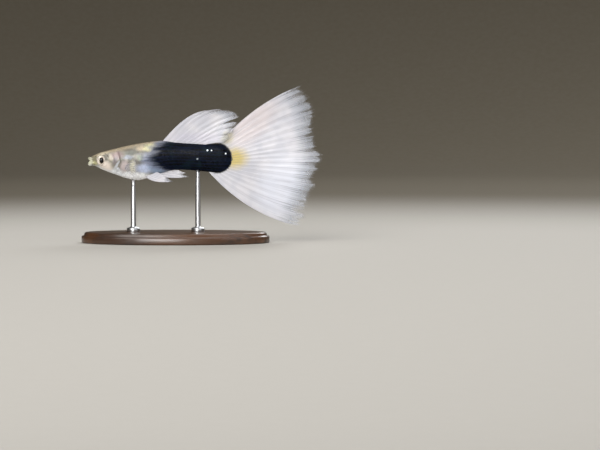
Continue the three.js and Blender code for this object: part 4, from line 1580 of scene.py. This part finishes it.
# a pool of light painted on the bowl: its middle, and the distances where it starts to darken and
# where it is darkest
PAINTED_LIGHT_MIDDLE = (0.03, -0.12, 0.0)  # middle of the pale pool
PAINTED_LIGHT_FADE = (0.16, 0.42)

sheet, sockets, bowl_finish = material("studio_paper")
here = sheet.here()
away = sheet.vector("DISTANCE", here, PAINTED_LIGHT_MIDDLE, "Value")
# painted light: pale inside the pool, darker further from it
paper_with_painted_light = sheet.mix(sheet.ramp(away, *PAINTED_LIGHT_FADE), "b0aca5", "5a5346")
fibre = sheet.times(sheet.noise(here, 400.0, 3.0), 0.02)
sheet.fill(sockets, {
    "Base Color": sheet.mix(fibre, paper_with_painted_light, "ffffff"),
    "Roughness": 0.9,
    "Specular IOR Level": 0.2,
})

corner = np.linspace(0, np.pi / 2, 16)
profile = [(0.002, 0.0), (FLOOR_RADIUS * 0.5, 0.0)]
profile += [(FLOOR_RADIUS + COVE * math.sin(a), COVE * (1 - math.cos(a))) for a in corner]
profile.append((FLOOR_RADIUS + COVE, WALL_HEIGHT))
points, faces = loft(turned([(r, r, height) for r, height in profile], sides=128))
bowl_mesh = make_mesh("studio_bowl", points, faces[:-1], False)
bowl_mesh.materials.append(bowl_finish)
placed("studio_bowl", bowl_mesh)

# %% The lamps
LAMPS = [
    # name, place, size, watts, degrees that the light fans out, colour
    ("key", (-0.3, -0.5, 0.55), 0.5, 1.65, 130, (1.0, 0.98, 0.95)),
    ("fill", (0.5, -0.42, 0.3), 0.55, 1.4, 180, (0.94, 0.97, 1.0)),
    ("top", (0.02, 0.05, 0.7), 0.6, 1.9, 180, (1.0, 1.0, 1.0)),
    ("low", (-0.12, -0.56, 0.16), 0.3, 0.42, 70, (1.0, 1.0, 1.0)),
    ("rim", (0.28, 0.52, 0.5), 0.45, 2.1, 130, (0.96, 0.98, 1.0)),
]
TARGET = to_frame([20.0, 0, 0])
for name, at, size, watts, fan, tint in LAMPS:
    light = bpy.data.lights.new(f"{name}_lamp", "AREA")
    light.size = size
    light.energy = watts
    light.spread = math.radians(fan)
    light.color = tint
    lamp = placed(f"{name}_lamp", light)
    lamp.location = at
    lamp.visible_camera = False
    back = at - TARGET
    pitch = math.atan2(math.hypot(back[0], back[1]), back[2])
    lamp.rotation_euler = (pitch, 0, math.atan2(back[1], back[0]) + math.pi / 2)

world = bpy.data.worlds.new("studio")
world.use_nodes = True
world.node_tree.nodes["Background"].inputs["Color"].default_value = colour("cfd2d6")
world.node_tree.nodes["Background"].inputs["Strength"].default_value = 0.22
bpy.context.scene.world = world
bpy.context.scene.view_settings.view_transform = "Standard"
print(len(LAMPS), "lamps")
